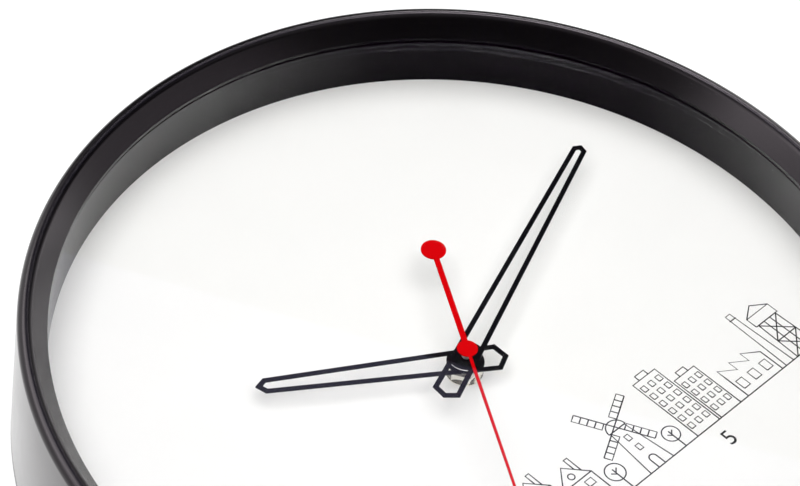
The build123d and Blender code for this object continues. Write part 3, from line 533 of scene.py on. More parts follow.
def face_paint_tree():
    """Geometry nodes: gives a finish to the faces between two radii that turn a given way."""
    tree, build, start, end = new_tree(
        "face_paint",
        {
            "Geometry": GEOMETRY,
            "Inner": 0.0,
            "Outer": 1.0,
            "Least Rearward": -1.0,
            "Most Rearward": 1.1,
            "Axis Height": 0.0,
            "Material": MATERIAL,
        },
    )
    position = build.add("GeometryNodeInputPosition").outputs["Position"]
    spot = build.add("ShaderNodeSeparateXYZ", Vector=position).outputs
    rise = build.calc("SUBTRACT", spot["Z"], start["Axis Height"])
    flat = build.add("ShaderNodeCombineXYZ", X=spot["X"], Z=rise).outputs["Vector"]
    radius = build.add("ShaderNodeVectorMath", {"operation": "LENGTH"}, Vector=flat).outputs["Value"]
    normal = build.add("GeometryNodeInputNormal").outputs["Normal"]
    rearward = build.add("ShaderNodeSeparateXYZ", Vector=normal).outputs["Y"]
    turned = between(build, rearward, start["Least Rearward"], start["Most Rearward"])
    placed = between(build, radius, start["Inner"], start["Outer"])
    painted = build.add("GeometryNodeSetMaterial", Geometry=start["Geometry"], Material=start["Material"])
    build.feed(painted.inputs["Selection"], both(build, turned, placed))
    build.feed(end["Geometry"], painted.outputs["Geometry"])
    return tree


def lathe_tree():
    """Geometry nodes: turns a closed profile in the XY plane round the hands' axis."""
    tree, build, start, end = new_tree(
        "lathe",
        {
            "Profile": GEOMETRY,
            "Segments": 128,
            "Axis Height": 0.0,
            "Sharp Angle": SHARP_ANGLE,
            "Material": MATERIAL,
        },
    )
    count = build.add("GeometryNodeAttributeDomainSize", Geometry=start["Profile"]).outputs["Point Count"]
    rows = build.calc("ADD", count, 1.0)
    columns = build.calc("ADD", start["Segments"], 1.0)
    grid = build.add("GeometryNodeMeshGrid", Vertices_X=columns, Vertices_Y=rows)
    index = build.add("GeometryNodeInputIndex").outputs["Index"]
    column = build.calc("FLOOR", build.calc("DIVIDE", index, rows))
    corner = build.calc("MODULO", build.calc("MODULO", index, rows), count)
    turn = build.calc("MULTIPLY", build.calc("DIVIDE", column, start["Segments"]), FULL_TURN)
    sample = build.add(
        "GeometryNodeSampleIndex",
        {"data_type": "FLOAT_VECTOR", "domain": "POINT"},
        Geometry=start["Profile"],
        Value=build.add("GeometryNodeInputPosition").outputs["Position"],
        Index=corner,
    ).outputs["Value"]
    turned = build.add("ShaderNodeVectorRotate", {"rotation_type": "Y_AXIS"}, Vector=sample, Angle=turn)
    lift = build.add("ShaderNodeCombineXYZ", Z=start["Axis Height"]).outputs["Vector"]
    raised = build.result("ShaderNodeVectorMath", turned.outputs["Vector"], lift, operation="ADD")
    placed = build.add("GeometryNodeSetPosition", Geometry=grid.outputs["Mesh"], Position=raised)
    closed = welded(build, placed.outputs["Geometry"])
    shaded = soften_by_angle(build, closed, start["Sharp Angle"])
    build.feed(end["Geometry"], finished(build, shaded, start["Material"]))
    return tree


def ink_tree():
    """Geometry nodes: draws each edge chain of a flat mesh as a thin printed line."""
    tree, build, start, end = new_tree(
        "ink_lines",
        {"Lines": GEOMETRY, "Width": 0.3 * MM, "Height": 0.03 * MM, "Front": 0.0, "Material": MATERIAL},
    )
    paths = build.add("GeometryNodeMeshToCurve", Mesh=start["Lines"]).outputs["Curve"]
    half = build.calc("MULTIPLY", start["Width"], 0.5)
    section = build.add("GeometryNodeCurvePrimitiveCircle", Resolution=6, Radius=half).outputs["Curve"]
    drawn = build.add("GeometryNodeCurveToMesh", Curve=paths, Profile_Curve=section, Fill_Caps=True)
    flat = build.calc("DIVIDE", start["Height"], half)
    forward = build.calc("MULTIPLY", start["Front"], -1.0)
    pressed = build.add(
        "GeometryNodeTransform",
        Geometry=drawn.outputs["Mesh"],
        Translation=build.add("ShaderNodeCombineXYZ", Y=forward).outputs["Vector"],
        Scale=build.add("ShaderNodeCombineXYZ", X=1.0, Y=flat, Z=1.0).outputs["Vector"],
    )
    build.feed(end["Geometry"], finished(build, pressed.outputs["Geometry"], start["Material"]))
    return tree


def ring_tree():
    """Geometry nodes: repeats a piece round the hands' axis."""
    tree, build, start, end = new_tree(
        "ring_of",
        {"Piece": GEOMETRY, "Count": 6, "Axis Height": 0.0, "Material": MATERIAL},
    )
    lift = build.add("ShaderNodeCombineXYZ", Z=start["Axis Height"]).outputs["Vector"]
    step = build.calc("DIVIDE", FULL_TURN, start["Count"])
    turn = build.calc("MULTIPLY", build.add("GeometryNodeInputIndex").outputs["Index"], step)
    copies = build.add(
        "GeometryNodeInstanceOnPoints",
        Points=build.add("GeometryNodePoints", Count=start["Count"], Position=lift).outputs["Points"],
        Instance=start["Piece"],
        Rotation=build.add("ShaderNodeCombineXYZ", Y=turn).outputs["Vector"],
    )
    build.feed(end["Geometry"], finished(build, copies.outputs["Instances"], start["Material"]))
    return tree


TREES = {
    "soft_edges": soft_edge_tree(),
    "face_paint": face_paint_tree(),
    "lathe": lathe_tree(),
    "ink": ink_tree(),
    "ring": ring_tree(),
}


# Meshes


def node_modifier(obj, tree_name, **values):
    """A geometry nodes modifier whose named inputs are set by their identifiers."""
    modifier = obj.modifiers.new(tree_name, "NODES")
    modifier.node_group = TREES[tree_name]
    for item in TREES[tree_name].interface.items_tree:
        key = item.name.replace(" ", "_")
        if item.item_type == "SOCKET" and item.in_out == "INPUT" and key in values:
            modifier[item.identifier] = values[key]


def link_mesh(name, points, edges=(), faces=()):
    """An object at the origin with a mesh of the given points."""
    mesh = bpy.data.meshes.new(name)
    mesh.from_pydata([tuple(point) for point in points], list(edges), list(faces))
    mesh.update()
    obj = bpy.data.objects.new(name, mesh)
    bpy.context.scene.collection.objects.link(obj)
    return obj


def evaluated_mesh(obj):
    """A new mesh of an object as its modifiers or its letters make it."""
    bpy.context.view_layer.update()
    graph = bpy.context.evaluated_depsgraph_get()
    return bpy.data.meshes.new_from_object(obj.evaluated_get(graph), depsgraph=graph)


def bake_nodes(obj):
    """Turns a piece's modifiers into a plain mesh."""
    made = evaluated_mesh(obj)
    obj.modifiers.clear()
    old = obj.data
    obj.data = made
    made.name = obj.name
    bpy.data.meshes.remove(old)
    return obj


def turned_piece(name, outline, material, segments):
    """A ring turned from an outline of radius and height pairs."""
    points = [(radius, -height, 0.0) for radius, height in outline]
    edges = [(index, (index + 1) % len(points)) for index in range(len(points))]
    obj = link_mesh(name, points, edges)
    node_modifier(obj, "lathe", Segments=segments, Axis_Height=AXIS_HEIGHT, Material=material)
    return bake_nodes(obj)


def band_faces(steps):
    """The faces between two rings of points, given in turn."""
    faces = []
    for step in range(steps):
        after = (step + 1) % steps
        faces.append((2 * step, 2 * step + 1, 2 * after + 1, 2 * after))
    return faces


def rounded(corners):
    """An outline whose corners, given as radius, height and rounding, become arcs."""
    outline = []
    for index, (across, up, radius) in enumerate(corners):
        here = Vector((across, up))
        if radius <= 0:
            outline.append(here)
            continue
        before = (Vector(corners[index - 1][:2]) - here).normalized()
        after = (Vector(corners[(index + 1) % len(corners)][:2]) - here).normalized()
        half = before.angle(after) / 2
        reach = radius / math.tan(half)
        centre = here + (before + after).normalized() * (radius / math.sin(half))
        first = here + before * reach - centre
        last = here + after * reach - centre
        sweep = first.angle_signed(last)
        for step in range(ROUND_STEPS + 1):
            turn = -sweep * step / ROUND_STEPS
            cosine = math.cos(turn)
            sine = math.sin(turn)
            spoke = Vector((first.x * cosine - first.y * sine, first.x * sine + first.y * cosine))
            outline.append(centre + spoke)
    return [(point.x, point.y) for point in outline]


def finish_nodes(material, *names):
    """Gives CAD nodes their finish, and shades their round faces smooth."""
    for name in names:
        obj = NODES[name]
        if obj.material_slots:
            for slot in obj.material_slots:
                slot.material = material
        else:
            obj.data.materials.append(material)
        node_modifier(obj, "soft_edges")


def soften(name, width, segments=2):
    """Rounds a CAD node's sharp edges a little."""
    bevel = NODES[name].modifiers.new("edge_round", "BEVEL")
    bevel.width = width
    bevel.segments = segments
    bevel.limit_method = "ANGLE"
    bevel.angle_limit = BEVEL_ANGLE
    bevel.harden_normals = True


def paint_band(obj, material, inner, outer, upright):
    """Gives a finish to the faces between two radii that stand more or less upright on the dial."""
    node_modifier(
        obj,
        "face_paint",
        Inner=inner,
        Outer=outer,
        Least_Rearward=-upright,
        Most_Rearward=upright,
        Axis_Height=AXIS_HEIGHT,
        Material=material,
    )


# The stage


def seen_by_eye(build):
    """One where a ray comes from the camera, a reflection or a view through glass."""
    path = build.add("ShaderNodeLightPath").outputs
    first = build.calc("MAXIMUM", path["Is Camera Ray"], path["Is Glossy Ray"])
    return build.calc("MAXIMUM", first, path["Is Transmission Ray"])


def case_only():
    """The collection of pieces that the crest's strips and the low panel light."""
    name = "crest_receivers"
    return bpy.data.collections.get(name) or bpy.data.collections.new(name)


def lamp(name, clockwise, rise, distance, size, power, aim=(0.0, 0.0)):
    """An area lamp towards an hour's direction, risen above the dial and aimed at a point of the dial."""
    data = bpy.data.lights.new(name, "AREA")
    data.shape = "RECTANGLE"
    data.size, data.size_y = size
    data.energy = power
    obj = bpy.data.objects.new(name, data)
    bpy.context.scene.collection.objects.link(obj)
    flat = distance * math.cos(math.radians(rise))
    out = distance * math.sin(math.radians(rise))
    turn = math.radians(clockwise)
    middle = Vector((0.0, -DIAL_FRONT, AXIS_HEIGHT))
    obj.location = middle + Vector((flat * math.sin(turn), -out, flat * math.cos(turn)))
    target = middle + Vector((aim[0], 0.0, aim[1]))
    behind = (obj.location - target).normalized()
    across = Vector((math.cos(turn), 0.0, -math.sin(turn)))
    across = (across - behind * across.dot(behind)).normalized()
    facing = Matrix((across, behind.cross(across), behind)).transposed()
    obj.rotation_mode = "QUATERNION"
    obj.rotation_quaternion = facing.to_quaternion()
    obj.visible_camera = False
    return obj


class CLOCK_OT_stage(bpy.types.Operator):
    """Makes the pale floor that the clock lies on, the light and the camera."""

    bl_idname = "clock.stage"
    bl_label = "Set the stage"

    FLOOR_RADIUS = 4.0
    FLOOR_HOLE = 0.1485
    FLOOR_GAP = 0.1 * MM
    FLOOR_STEPS = 128
    FLOOR_GLOW = 0.92
    FLOOR_SHADE = 0.22
    FLOOR_BOUNCE = 0.75
    # Lamps: direction clockwise from twelve and rise in degrees, distance and size in metres
    TOP_SOFTBOX = (143.0, 90.0, 0.90, (1.35, 1.35))
    LEFT_SOFTBOX = (313.0, 45.0, 1.10, (0.7, 0.6))
    REAR_SOFTBOX = (353.0, 45.0, 1.10, (0.6, 0.5))
    LOW_STRIP = (88.0, 5.0, 1.20, (0.9, 0.30))
    STRIP_SIZE = (0.32, 0.15)
    CREST_STRIPS = {
        "low_crest_strip": (57.0, 40.7, 1.125, STRIP_SIZE),
        "high_crest_strip": (57.0, 64.4, 0.98, STRIP_SIZE),
    }
    CREST_AIM = (0.142, 0.03)
    CREST_SPREAD = math.radians(25)
    PANEL_TURN = 306.6
    PANEL_DROP = 8.0
    PANEL_REACH = 0.18
    PANEL_SIZE = (0.26, 0.10)
    # Cards: direction of the view clockwise from twelve in degrees, and tints
    FAR_TURN = 53.0
    DARK = (0.01, 0.01, 0.01)
    GREY = (0.62, 0.60, 0.62)
    BLUE = (0.27, 0.26, 0.40)
    SOFT_GREY = (0.30, 0.29, 0.30)

    def execute(self, context):
        settings = context.scene.clock_stage
        context.scene.view_settings.view_transform = "Standard"
        self.floor()
        self.world(context, settings)
        self.lamps(settings)
        self.cards()
        self.camera(context, settings)
        return {"FINISHED"}

    def floor(self):
        """A wide disc with a round opening that the case covers, seen only from the front."""
        points = []
        for step in range(self.FLOOR_STEPS):
            turn = FULL_TURN * step / self.FLOOR_STEPS
            for radius in (self.FLOOR_HOLE, self.FLOOR_RADIUS):
                up = AXIS_HEIGHT + radius * math.sin(turn)
                points.append((radius * math.cos(turn), self.FLOOR_GAP, up))
        floor = link_mesh("floor", points, faces=band_faces(self.FLOOR_STEPS))
        floor.data.materials.append(self.floor_material())

    def floor_material(self):
        """White to the camera and in reflections, with the clock's soft shadow kept on it."""
        build = Finish("pale_floor")
        shade = build.add("ShaderNodeBsdfDiffuse", Color=opaque((self.FLOOR_SHADE,) * 3)).outputs["BSDF"]
        glow = build.add("ShaderNodeEmission", Strength=self.FLOOR_GLOW).outputs["Emission"]
        shown = build.result("ShaderNodeAddShader", shade, glow)
        bounce = build.add("ShaderNodeBsdfDiffuse", Color=opaque((self.FLOOR_BOUNCE,) * 3)).outputs["BSDF"]
        lit = build.result("ShaderNodeMixShader", seen_by_eye(build), bounce, shown)
        clear = build.add("ShaderNodeBsdfTransparent").outputs["BSDF"]
        behind = build.add("ShaderNodeNewGeometry").outputs["Backfacing"]
        return build.made_of(build.result("ShaderNodeMixShader", behind, lit, clear))

    def world(self, context, settings):
        """Even light from all round, which is white where it is seen or reflected."""
        world = bpy.data.worlds.new("studio")
        context.scene.world = world
        world.use_nodes = True
        world.node_tree.nodes.clear()
        build = NodeBuilder(world.node_tree)
        output = build.add("ShaderNodeOutputWorld")
        white = (1.0, 1.0, 1.0, 1.0)
        fill = build.add("ShaderNodeBackground", Color=white, Strength=settings.fill).outputs["Background"]
        full = build.add("ShaderNodeBackground", Color=white, Strength=1.0).outputs["Background"]
        mix = build.result("ShaderNodeMixShader", seen_by_eye(build), fill, full)
        build.feed(output.inputs["Surface"], mix)

    def lamps(self, settings):
        """A wide softbox over the dial, and lights that show only in reflections.

        Two softboxes and a strip stand round the clock. The crest's strips and the low panel light
        the case alone.
        """
        top = lamp("top_softbox", *self.TOP_SOFTBOX, settings.top_power)
        top.visible_glossy = False
        top.visible_transmission = False
        sides = [
            lamp("left_softbox", *self.LEFT_SOFTBOX, settings.left_power),
            lamp("rear_softbox", *self.REAR_SOFTBOX, settings.rear_power),
            lamp("low_strip", *self.LOW_STRIP, settings.low_power),
        ]
        case_lights = []
        for name, spot in self.CREST_STRIPS.items():
            strip = lamp(name, *spot, settings.crest_power, self.CREST_AIM)
            strip.data.spread = self.CREST_SPREAD
            case_lights.append(strip)
        turn = math.radians(self.PANEL_TURN)
        beside = (self.PANEL_REACH * math.sin(turn), self.PANEL_REACH * math.cos(turn))
        distance = self.PANEL_REACH / math.cos(math.radians(self.PANEL_DROP))
        spot = (self.PANEL_TURN, -self.PANEL_DROP, distance, self.PANEL_SIZE)
        case_lights.append(lamp("wall_panel", *spot, settings.wall_power, beside))
        for light in case_lights:
            light.light_linking.receiver_collection = case_only()
        for light in (*sides, *case_lights):
            light.visible_diffuse = False
            light.visible_transmission = False

    def cards(self):
        """Cards that only reflections show: two dark ones, and three paler ones for soft gleams."""
        over = [(-2.6, -1.6, 1.0), (-2.6, 2.2, 1.0), (1.5, 1.8, 1.0), (1.5, -0.65, 1.0)]
        beyond = [(1.5, -1.3, 0.0), (1.5, 0.3, 0.0), (1.5, 0.3, 1.0), (1.5, -1.3, 1.0)]
        beside = [(-0.8, 0.9, 0.03), (0.5, 0.9, 0.03), (0.5, 0.9, 0.6), (-0.8, 0.9, 0.6)]
        blue = [(0.3, -0.5, 0.99), (0.3, 0.3, 0.99), (0.775, 0.3, 0.99), (0.908, -0.5, 0.99)]
        soft = [(-0.55, -0.7, 0.99), (-0.55, 0.7, 0.99), (0.3, 0.7, 0.99), (0.3, -0.7, 0.99)]
        self.card("dark_card_over", over, self.DARK)
        self.card("dark_card_beyond", beyond, self.DARK)
        self.card("grey_card_beside", beside, self.GREY)
        self.card("blue_card_over", blue, self.BLUE)
        self.card("soft_card_over", soft, self.SOFT_GREY)

    def card(self, name, corners, tint):
        """A card whose corners are given along the view, across it and above the dial."""
        turn = math.radians(self.FAR_TURN)
        points = []
        for along, across, height in corners:
            x = along * math.sin(turn) + across * math.cos(turn)
            z = along * math.cos(turn) - across * math.sin(turn)
            points.append((x, -(DIAL_FRONT + height), AXIS_HEIGHT + z))
        card = link_mesh(name, points, faces=[(0, 1, 2, 3)])
        face = Finish(f"{name}_face")
        shade = face.add("ShaderNodeEmission", Color=opaque(tint), Strength=1.0)
        card.data.materials.append(face.made_of(shade.outputs["Emission"]))
        card.visible_camera = False
        card.visible_diffuse = False
        card.visible_shadow = False

    def camera(self, context, settings):
        """The photograph's viewpoint."""
        data = bpy.data.cameras.new("camera")
        camera = bpy.data.objects.new("camera", data)
        context.scene.collection.objects.link(camera)
        data.lens = settings.lens
        eye = Vector(settings.eye)
        look = (Vector(settings.target) - eye).to_track_quat("-Z", "Y")
        camera.rotation_mode = "QUATERNION"
        camera.location = eye
        camera.rotation_quaternion = look @ Quaternion((0, 0, 1), -settings.roll)
        context.scene.camera = camera


# The pieces


class CLOCK_OT_case(bpy.types.Operator):
    """Turns the case with its rounded crest and sloping lip, and the dark ring inside the glass."""

    bl_idname = "clock.case"
    bl_label = "Make the case"

    CREST_STEPS = 32
    BOSS_COUNT = 6
    BOSS_RADIUS = 2.4 * MM
    BOSS_LENGTH = 16.0 * MM
    BOSS_CIRCLE = 141.8 * MM
    BOSS_STEPS = 24
    MOUTH_BAND = 0.1 * MM
    UPRIGHT = 0.3

    def execute(self, context):
        settings = context.scene.clock_case
        gloss = {"ior": 1.5, "grain": 4000.0, "bump": 0.003, "gleam": settings.gleam}
        black = plastic("case_black", settings.black, 0.23, 0.26, **gloss)
        dark = reveal_black(settings.reveal_black)
        case = turned_piece("case_shell", self.outline(settings), black, settings.segments)
        opening = CASE_RADIUS - settings.draft - settings.lip_width
        paint_band(case, dark, opening - self.MOUTH_BAND, opening + self.MOUTH_BAND, self.UPRIGHT)
        bake_nodes(case)
        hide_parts("case_ring")
        self.finish(case, "case_black")
        case_only().objects.link(case)
        self.finish(self.bosses(black), "case_black")
        inner = REVEAL_RADIUS - settings.reveal_wall
        seat = GLASS_BACK - settings.seat_gap
        section = [(inner, DIAL_FRONT), (REVEAL_RADIUS, DIAL_FRONT), (REVEAL_RADIUS, seat), (inner, seat)]
        ring = turned_piece("reveal_liner", section, dark, settings.segments)
        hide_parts("reveal_ring")
        self.finish(ring, "case_black")
        return {"FINISHED"}

    def finish(self, obj, slot):
        """Hangs a piece on the case's body."""
        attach(obj, CASE_BODY)

    def outline(self, settings):
        """The case's section: wall, crest arc, lip, rebate for the glass and inner wall."""
        front = CASE_RADIUS - settings.draft
        opening = front - settings.lip_width
        lip = CASE_DEPTH - settings.lip_drop
        crest = Vector((front - settings.crest, CASE_DEPTH - settings.crest))
        foot = Vector((CASE_RADIUS, 0.0))
        edge = Vector((opening, lip))
        start = self.touch(crest, settings.crest, foot, 1)
        stop = self.touch(crest, settings.crest, edge, -1) + FULL_TURN
        arc = []
        for step in range(self.CREST_STEPS + 1):
            turn = start + (stop - start) * step / self.CREST_STEPS
            across = crest.x + settings.crest * math.cos(turn)
            up = crest.y + settings.crest * math.sin(turn)
            arc.append((across, up))
        rebate = CASE_RADIUS - settings.draft * GLASS_FRONT / CASE_DEPTH - settings.wall
        seat = GLASS_FRONT + settings.seat_gap
        low = rounded(
            [
                (*arc[-1], 0.0),
                (edge.x, edge.y, 0.0),
                (opening, seat, 0.0),
                (rebate, seat, 0.0),
                (CASE_RADIUS - settings.wall, 0.0, settings.edge_round),
                (foot.x, foot.y, settings.edge_round),
                (*arc[0], 0.0),
            ]
        )
        return arc + low[1:-1]

    def touch(self, centre, radius, point, side):
        """Angle at which a line from a point touches a circle."""
        away = point - centre
        return math.atan2(away.y, away.x) + side * math.acos(radius / away.length)

    def bosses(self, material):
        """Screw bosses behind the lip, where the back plate is held."""
        points = []
        for step in range(self.BOSS_STEPS):
            turn = FULL_TURN * step / self.BOSS_STEPS
            across = self.BOSS_CIRCLE + self.BOSS_RADIUS * math.cos(turn)
            up = self.BOSS_RADIUS * math.sin(turn)
            points.append((across, -DIAL_BACK, up))
            points.append((across, -DIAL_BACK - self.BOSS_LENGTH, up))
        faces = band_faces(self.BOSS_STEPS)
        faces.append(tuple(range(0, 2 * self.BOSS_STEPS, 2)))
        faces.append(tuple(reversed(range(1, 2 * self.BOSS_STEPS, 2))))
        obj = link_mesh("screw_bosses", points, faces=faces)
        node_modifier(obj, "ring", Count=self.BOSS_COUNT, Axis_Height=AXIS_HEIGHT, Material=material)
        return bake_nodes(obj)


class CLOCK_OT_glass(bpy.types.Operator):
    """Gives the flat glass its finish."""

    bl_idname = "clock.glass"
    bl_label = "Clear the glass"

    def execute(self, context):
        finish_nodes(clear_glass(), "lens_glass")
        return {"FINISHED"}


class CLOCK_OT_dial(bpy.types.Operator):
    """Lacquers the dial and prints its townscape and numbers."""

    bl_idname = "clock.dial"
    bl_label = "Print the dial"

    HOURS = (7, 6, 5)
    HOUR_TURN = 30
    NUMERAL_SHARE = 0.7
    NUMERAL_WELD = 0.0005 * MM

    def execute(self, context):
        settings = context.scene.clock_dial
        white = plastic("dial_white", settings.white, 0.38, 0.5, grain=2500.0, bump=0.02, drift=0.01)
        finish_nodes(white, "dial_plate")
        ink = plastic("print_ink", settings.ink, 0.45, 0.6, grain=3000.0, bump=0.05)
        points = []
        edges = []
        for line in townscape():
            start = len(points)
            for across, up in line:
                points.append((across * MM, 0.0, AXIS_HEIGHT - settings.ground_drop + up * MM))
            edges.extend((start + index, start + index + 1) for index in range(len(line) - 1))
        lines = link_mesh("dial_print", points, edges)
        stroke = {"Width": settings.line_width, "Height": settings.ink_height}
        node_modifier(lines, "ink", Front=DIAL_FRONT, Material=ink, **stroke)
        bake_nodes(lines)
        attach(lines, CASE_BODY)
        self.numerals(settings, ink)
        return {"FINISHED"}

    def numerals(self, settings, ink):
        """Plain hour numbers below the ground line, each in its own hour's direction."""
        drop = settings.ground_drop + settings.numeral_drop
        meshes = bmesh.new()
        for hour in self.HOURS:
            curve = bpy.data.curves.new(f"hour_{hour}", "FONT")
            curve.body = str(hour)
            curve.size = settings.numeral_height / self.NUMERAL_SHARE
            curve.align_x = "CENTER"
            curve.align_y = "CENTER"
            curve.extrude = settings.ink_height
            obj = bpy.data.objects.new(curve.name, curve)
            bpy.context.scene.collection.objects.link(obj)
            mesh = evaluated_mesh(obj)
            across = drop * math.tan(math.pi - math.radians(hour * self.HOUR_TURN))
            for vertex in mesh.vertices:
                x, y, z = vertex.co
                vertex.co = (across + x, -DIAL_FRONT - z, AXIS_HEIGHT - drop + y)
            meshes.from_mesh(mesh)
            bpy.data.objects.remove(obj)
            bpy.data.meshes.remove(mesh)
        bmesh.ops.remove_doubles(meshes, verts=meshes.verts, dist=self.NUMERAL_WELD)
        bmesh.ops.recalc_face_normals(meshes, faces=meshes.faces)
        numbers = link_mesh("hour_numbers", [])
        meshes.to_mesh(numbers.data)
        meshes.free()
        numbers.data.materials.append(ink)
        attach(numbers, CASE_BODY)


# The printed townscape, in millimetres


def arc_line(centre, radius, start, stop, steps):
    """Points along an arc, in degrees counter-clockwise from the right."""
    line = []
    for step in range(steps + 1):
        turn = math.radians(start + (stop - start) * step / steps)
        line.append((centre[0] + radius * math.cos(turn), centre[1] + radius * math.sin(turn)))
    return line


def box_line(left, low, width, height):
    """A closed rectangle."""
    right = left + width
    high = low + height
    return [(left, low), (right, low), (right, high), (left, high), (left, low)]


def gate_line(left, right, low, high):
    """Three sides of a rectangle, open at its foot."""
    return [(left, low), (left, high), (right, high), (right, low)]


def townhouse(left, width, wall, roof):
    """A gabled house with a door, windows and a chimney."""
    right = left + width
    middle = left + width / 2
    ridge = wall + roof
    chimney = left + width * 0.72
    stack = chimney + 1.6
    top = ridge + 1.5
    slope = ridge - roof * (chimney - middle) / (width / 2)
    jamb = width * 0.24 / 2
    lines = [
        [(left, 0), (left, wall), (middle, ridge), (right, wall), (right, 0)],
        [(left, wall), (right, wall)],
        [(chimney, slope), (chimney, top), (stack, top), (stack, slope - 2)],
        gate_line(middle - jamb, middle + jamb, 0, 4),
    ]
    for share in (0.16, 0.62):
        lines.append(box_line(left + width * share, wall - 4.2, width * 0.22, 2.6))
    lines.append(arc_line((middle, wall + roof * 0.36), width * 0.09, 0, 360, 14))
    return lines


def tower_block(left, width, height, floors, bays):
    """A tall flat-roofed block with rows of windows."""
    lines = [
        gate_line(left, left + width, 0, height),
        gate_line(left + width * 0.3, left + width * 0.7, height, height + 2.2),
    ]
    step_up = (height - 4) / floors
    step_across = width / bays
    for floor in range(floors):
        for bay in range(bays):
            side = left + (bay + 0.25) * step_across
            lines.append(box_line(side, 3.4 + floor * step_up, step_across * 0.5, step_up * 0.55))
    return lines


def round_tree(middle, height, crown):
    """A tree with a round crown and two branches."""
    stem = height - crown
    return [
        [(middle, 0), (middle, stem + crown * 0.4)],
        arc_line((middle, stem), crown, -90, 270, 28),
        [(middle, stem - crown * 0.3), (middle - crown * 0.45, stem + crown * 0.1)],
        [(middle, stem - crown * 0.1), (middle + crown * 0.45, stem + crown * 0.3)],
    ]


def viaduct(left, spans, span, deck):
    """An arched bridge on piers."""
    right = left + spans * span
    lines = [[(left, deck), (right, deck)], [(left, deck + 1.6), (right, deck + 1.6)]]
    radius = span * 0.4
    spring = deck - radius - 1.8
    for index in range(spans):
        middle = left + (index + 0.5) * span
        arch = arc_line((middle, spring), radius, 180, 0, 18)
        lines.append([(middle - radius, 0)] + arch + [(middle + radius, 0)])
    return lines


def windmill(middle, height, base, top, sail):
    """A tapered mill with a cap and four lattice sails."""
    cap = top * 1.15
    lines = [
        [(middle - base, 0), (middle - top, height), (middle + top, height), (middle + base, 0)],
        arc_line((middle, height), cap, 0, 180, 16),
        [(middle - cap, height), (middle + cap, height)],
    ]
    hub = (middle, height + top * 0.4)
    for quarter in range(4):
        turn = math.radians(28 + 90 * quarter)
        along = Vector((math.cos(turn), math.sin(turn)))
        side = Vector((-math.sin(turn), math.cos(turn)))
        tip = Vector(hub) + along * sail
        inner = Vector(hub) + along * sail * 0.25
        edge = side * sail * 0.2
        lines.append([hub, tip])
        lines.append([tip, tip + edge, inner + edge, inner])
        for share in (0.25, 0.5, 0.75):
            rung = inner.lerp(tip, share)
            lines.append([rung, rung + edge])
    door = arc_line((middle, 4), 1.5, 180, 0, 8)
    lines.append([(middle - 1.5, 0), (middle - 1.5, 4)] + door + [(middle + 1.5, 0)])
    for share in (0.45, 0.7):
        lines.append(box_line(middle - 0.9, height * share, 1.8, 2.4))
    return lines


def works(left, teeth, tooth, wall, rise):
    """A workshop with a saw-tooth roof and a tall chimney."""
    roof = [(left, 0), (left, wall)]
    for index in range(teeth):
        roof += [(left + index * tooth, wall + rise), (left + (index + 1) * tooth, wall)]
    roof.append((left + teeth * tooth, 0))
    lines = [roof]
    for index in range(teeth):
        lines.append(box_line(left + (index + 0.25) * tooth, 3.0, tooth * 0.5, wall - 6))
    stack = left + teeth * tooth + 2
    lines.append([(stack, 0), (stack + 0.8, wall + 18), (stack + 3.0, wall + 18), (stack + 3.8, 0)])
    lines.append([(stack + 0.3, wall + 15.6), (stack + 3.5, wall + 15.6)])
    return lines


def water_tower(middle, height, tank):
    """A round tank on braced legs."""
    low = height - tank * 1.1
    eaves = low + tank * 0.8
    legs = tank * 0.8
    lines = [
        box_line(middle - tank, low, 2 * tank, tank * 0.8),
        [(middle - tank, eaves), (middle, height + 2), (middle + tank, eaves)],
    ]
    for side in (-1, -0.33, 0.33, 1):
        lines.append([(middle + side * legs * 1.15, 0), (middle + side * legs, low)])
    for share in (0.0, 0.5):
        bottom = low * share
        top = low * (share + 0.5)
        lines.append([(middle - legs * 1.1, bottom), (middle + legs * 1.05, top)])
        lines.append([(middle + legs * 1.1, bottom), (middle - legs * 1.05, top)])
        lines.append([(middle - legs * 1.05, top), (middle + legs * 1.05, top)])
    return lines


def townscape():
    """All the printed lines, from the ground line's middle below the hands' axis."""
    return [
        [(-108, 0), (108, 0)],
        *round_tree(-100, 14, 4.5),
        *viaduct(-92, 3, 13, 16),
        *round_tree(-48, 12, 4),
        *townhouse(-40, 13, 15, 7),
        *townhouse(-26, 12, 19, 6.5),
        *townhouse(-13, 13.5, 14, 7.5),
        *round_tree(6, 12, 3.6),
        *windmill(20, 20, 5.6, 3.4, 14),
        *round_tree(32, 10, 3.2),
        *tower_block(38, 11, 29, 6, 3),
        *tower_block(50, 10, 21, 4, 3),
        *works(64, 3, 6, 10, 4),
        *water_tower(95, 24, 5.5),
        *round_tree(104, 9, 3),
    ]


# The hands, the back and the movement


class CLOCK_OT_hands(bpy.types.Operator):
    """Paints the hands on their fronts and sides, leaves their undersides bare and softens their edges."""

    bl_idname = "clock.hands"
    bl_label = "Paint the hands"

    WEB_RADIUS = (6.3 * MM, 6.5 * MM)
    SQUARE = 0.5

    def execute(self, context):
        settings = context.scene.clock_hands
        black = plastic("hand_black", settings.black, 0.16, 0.2, ior=1.42, grain=4000.0, bump=0.01)
        red = plastic("hand_red", settings.red, 0.34, 0.44, grain=2200.0, bump=0.03, drift=0.05, shine=0.0)
        bare = metal("bare_aluminium", (0.86, 0.86, 0.87), 0.3, 0.4)
        for name, paint in (("hour_hand", black), ("minute_hand", black), ("second_hand", red)):
            finish_nodes(paint, name)
            soften(name, settings.edge)
            node_modifier(NODES[name], "face_paint", Least_Rearward=self.SQUARE, Material=bare)
        paint_band(NODES["minute_hand"], bare, *self.WEB_RADIUS, self.SQUARE)
        pipe = plastic("pipe_grey", (0.75, 0.75, 0.77), 0.3, 0.4, grain=3000.0, bump=0.02)
        finish_nodes(pipe, "second_pipe")
        return {"FINISHED"}


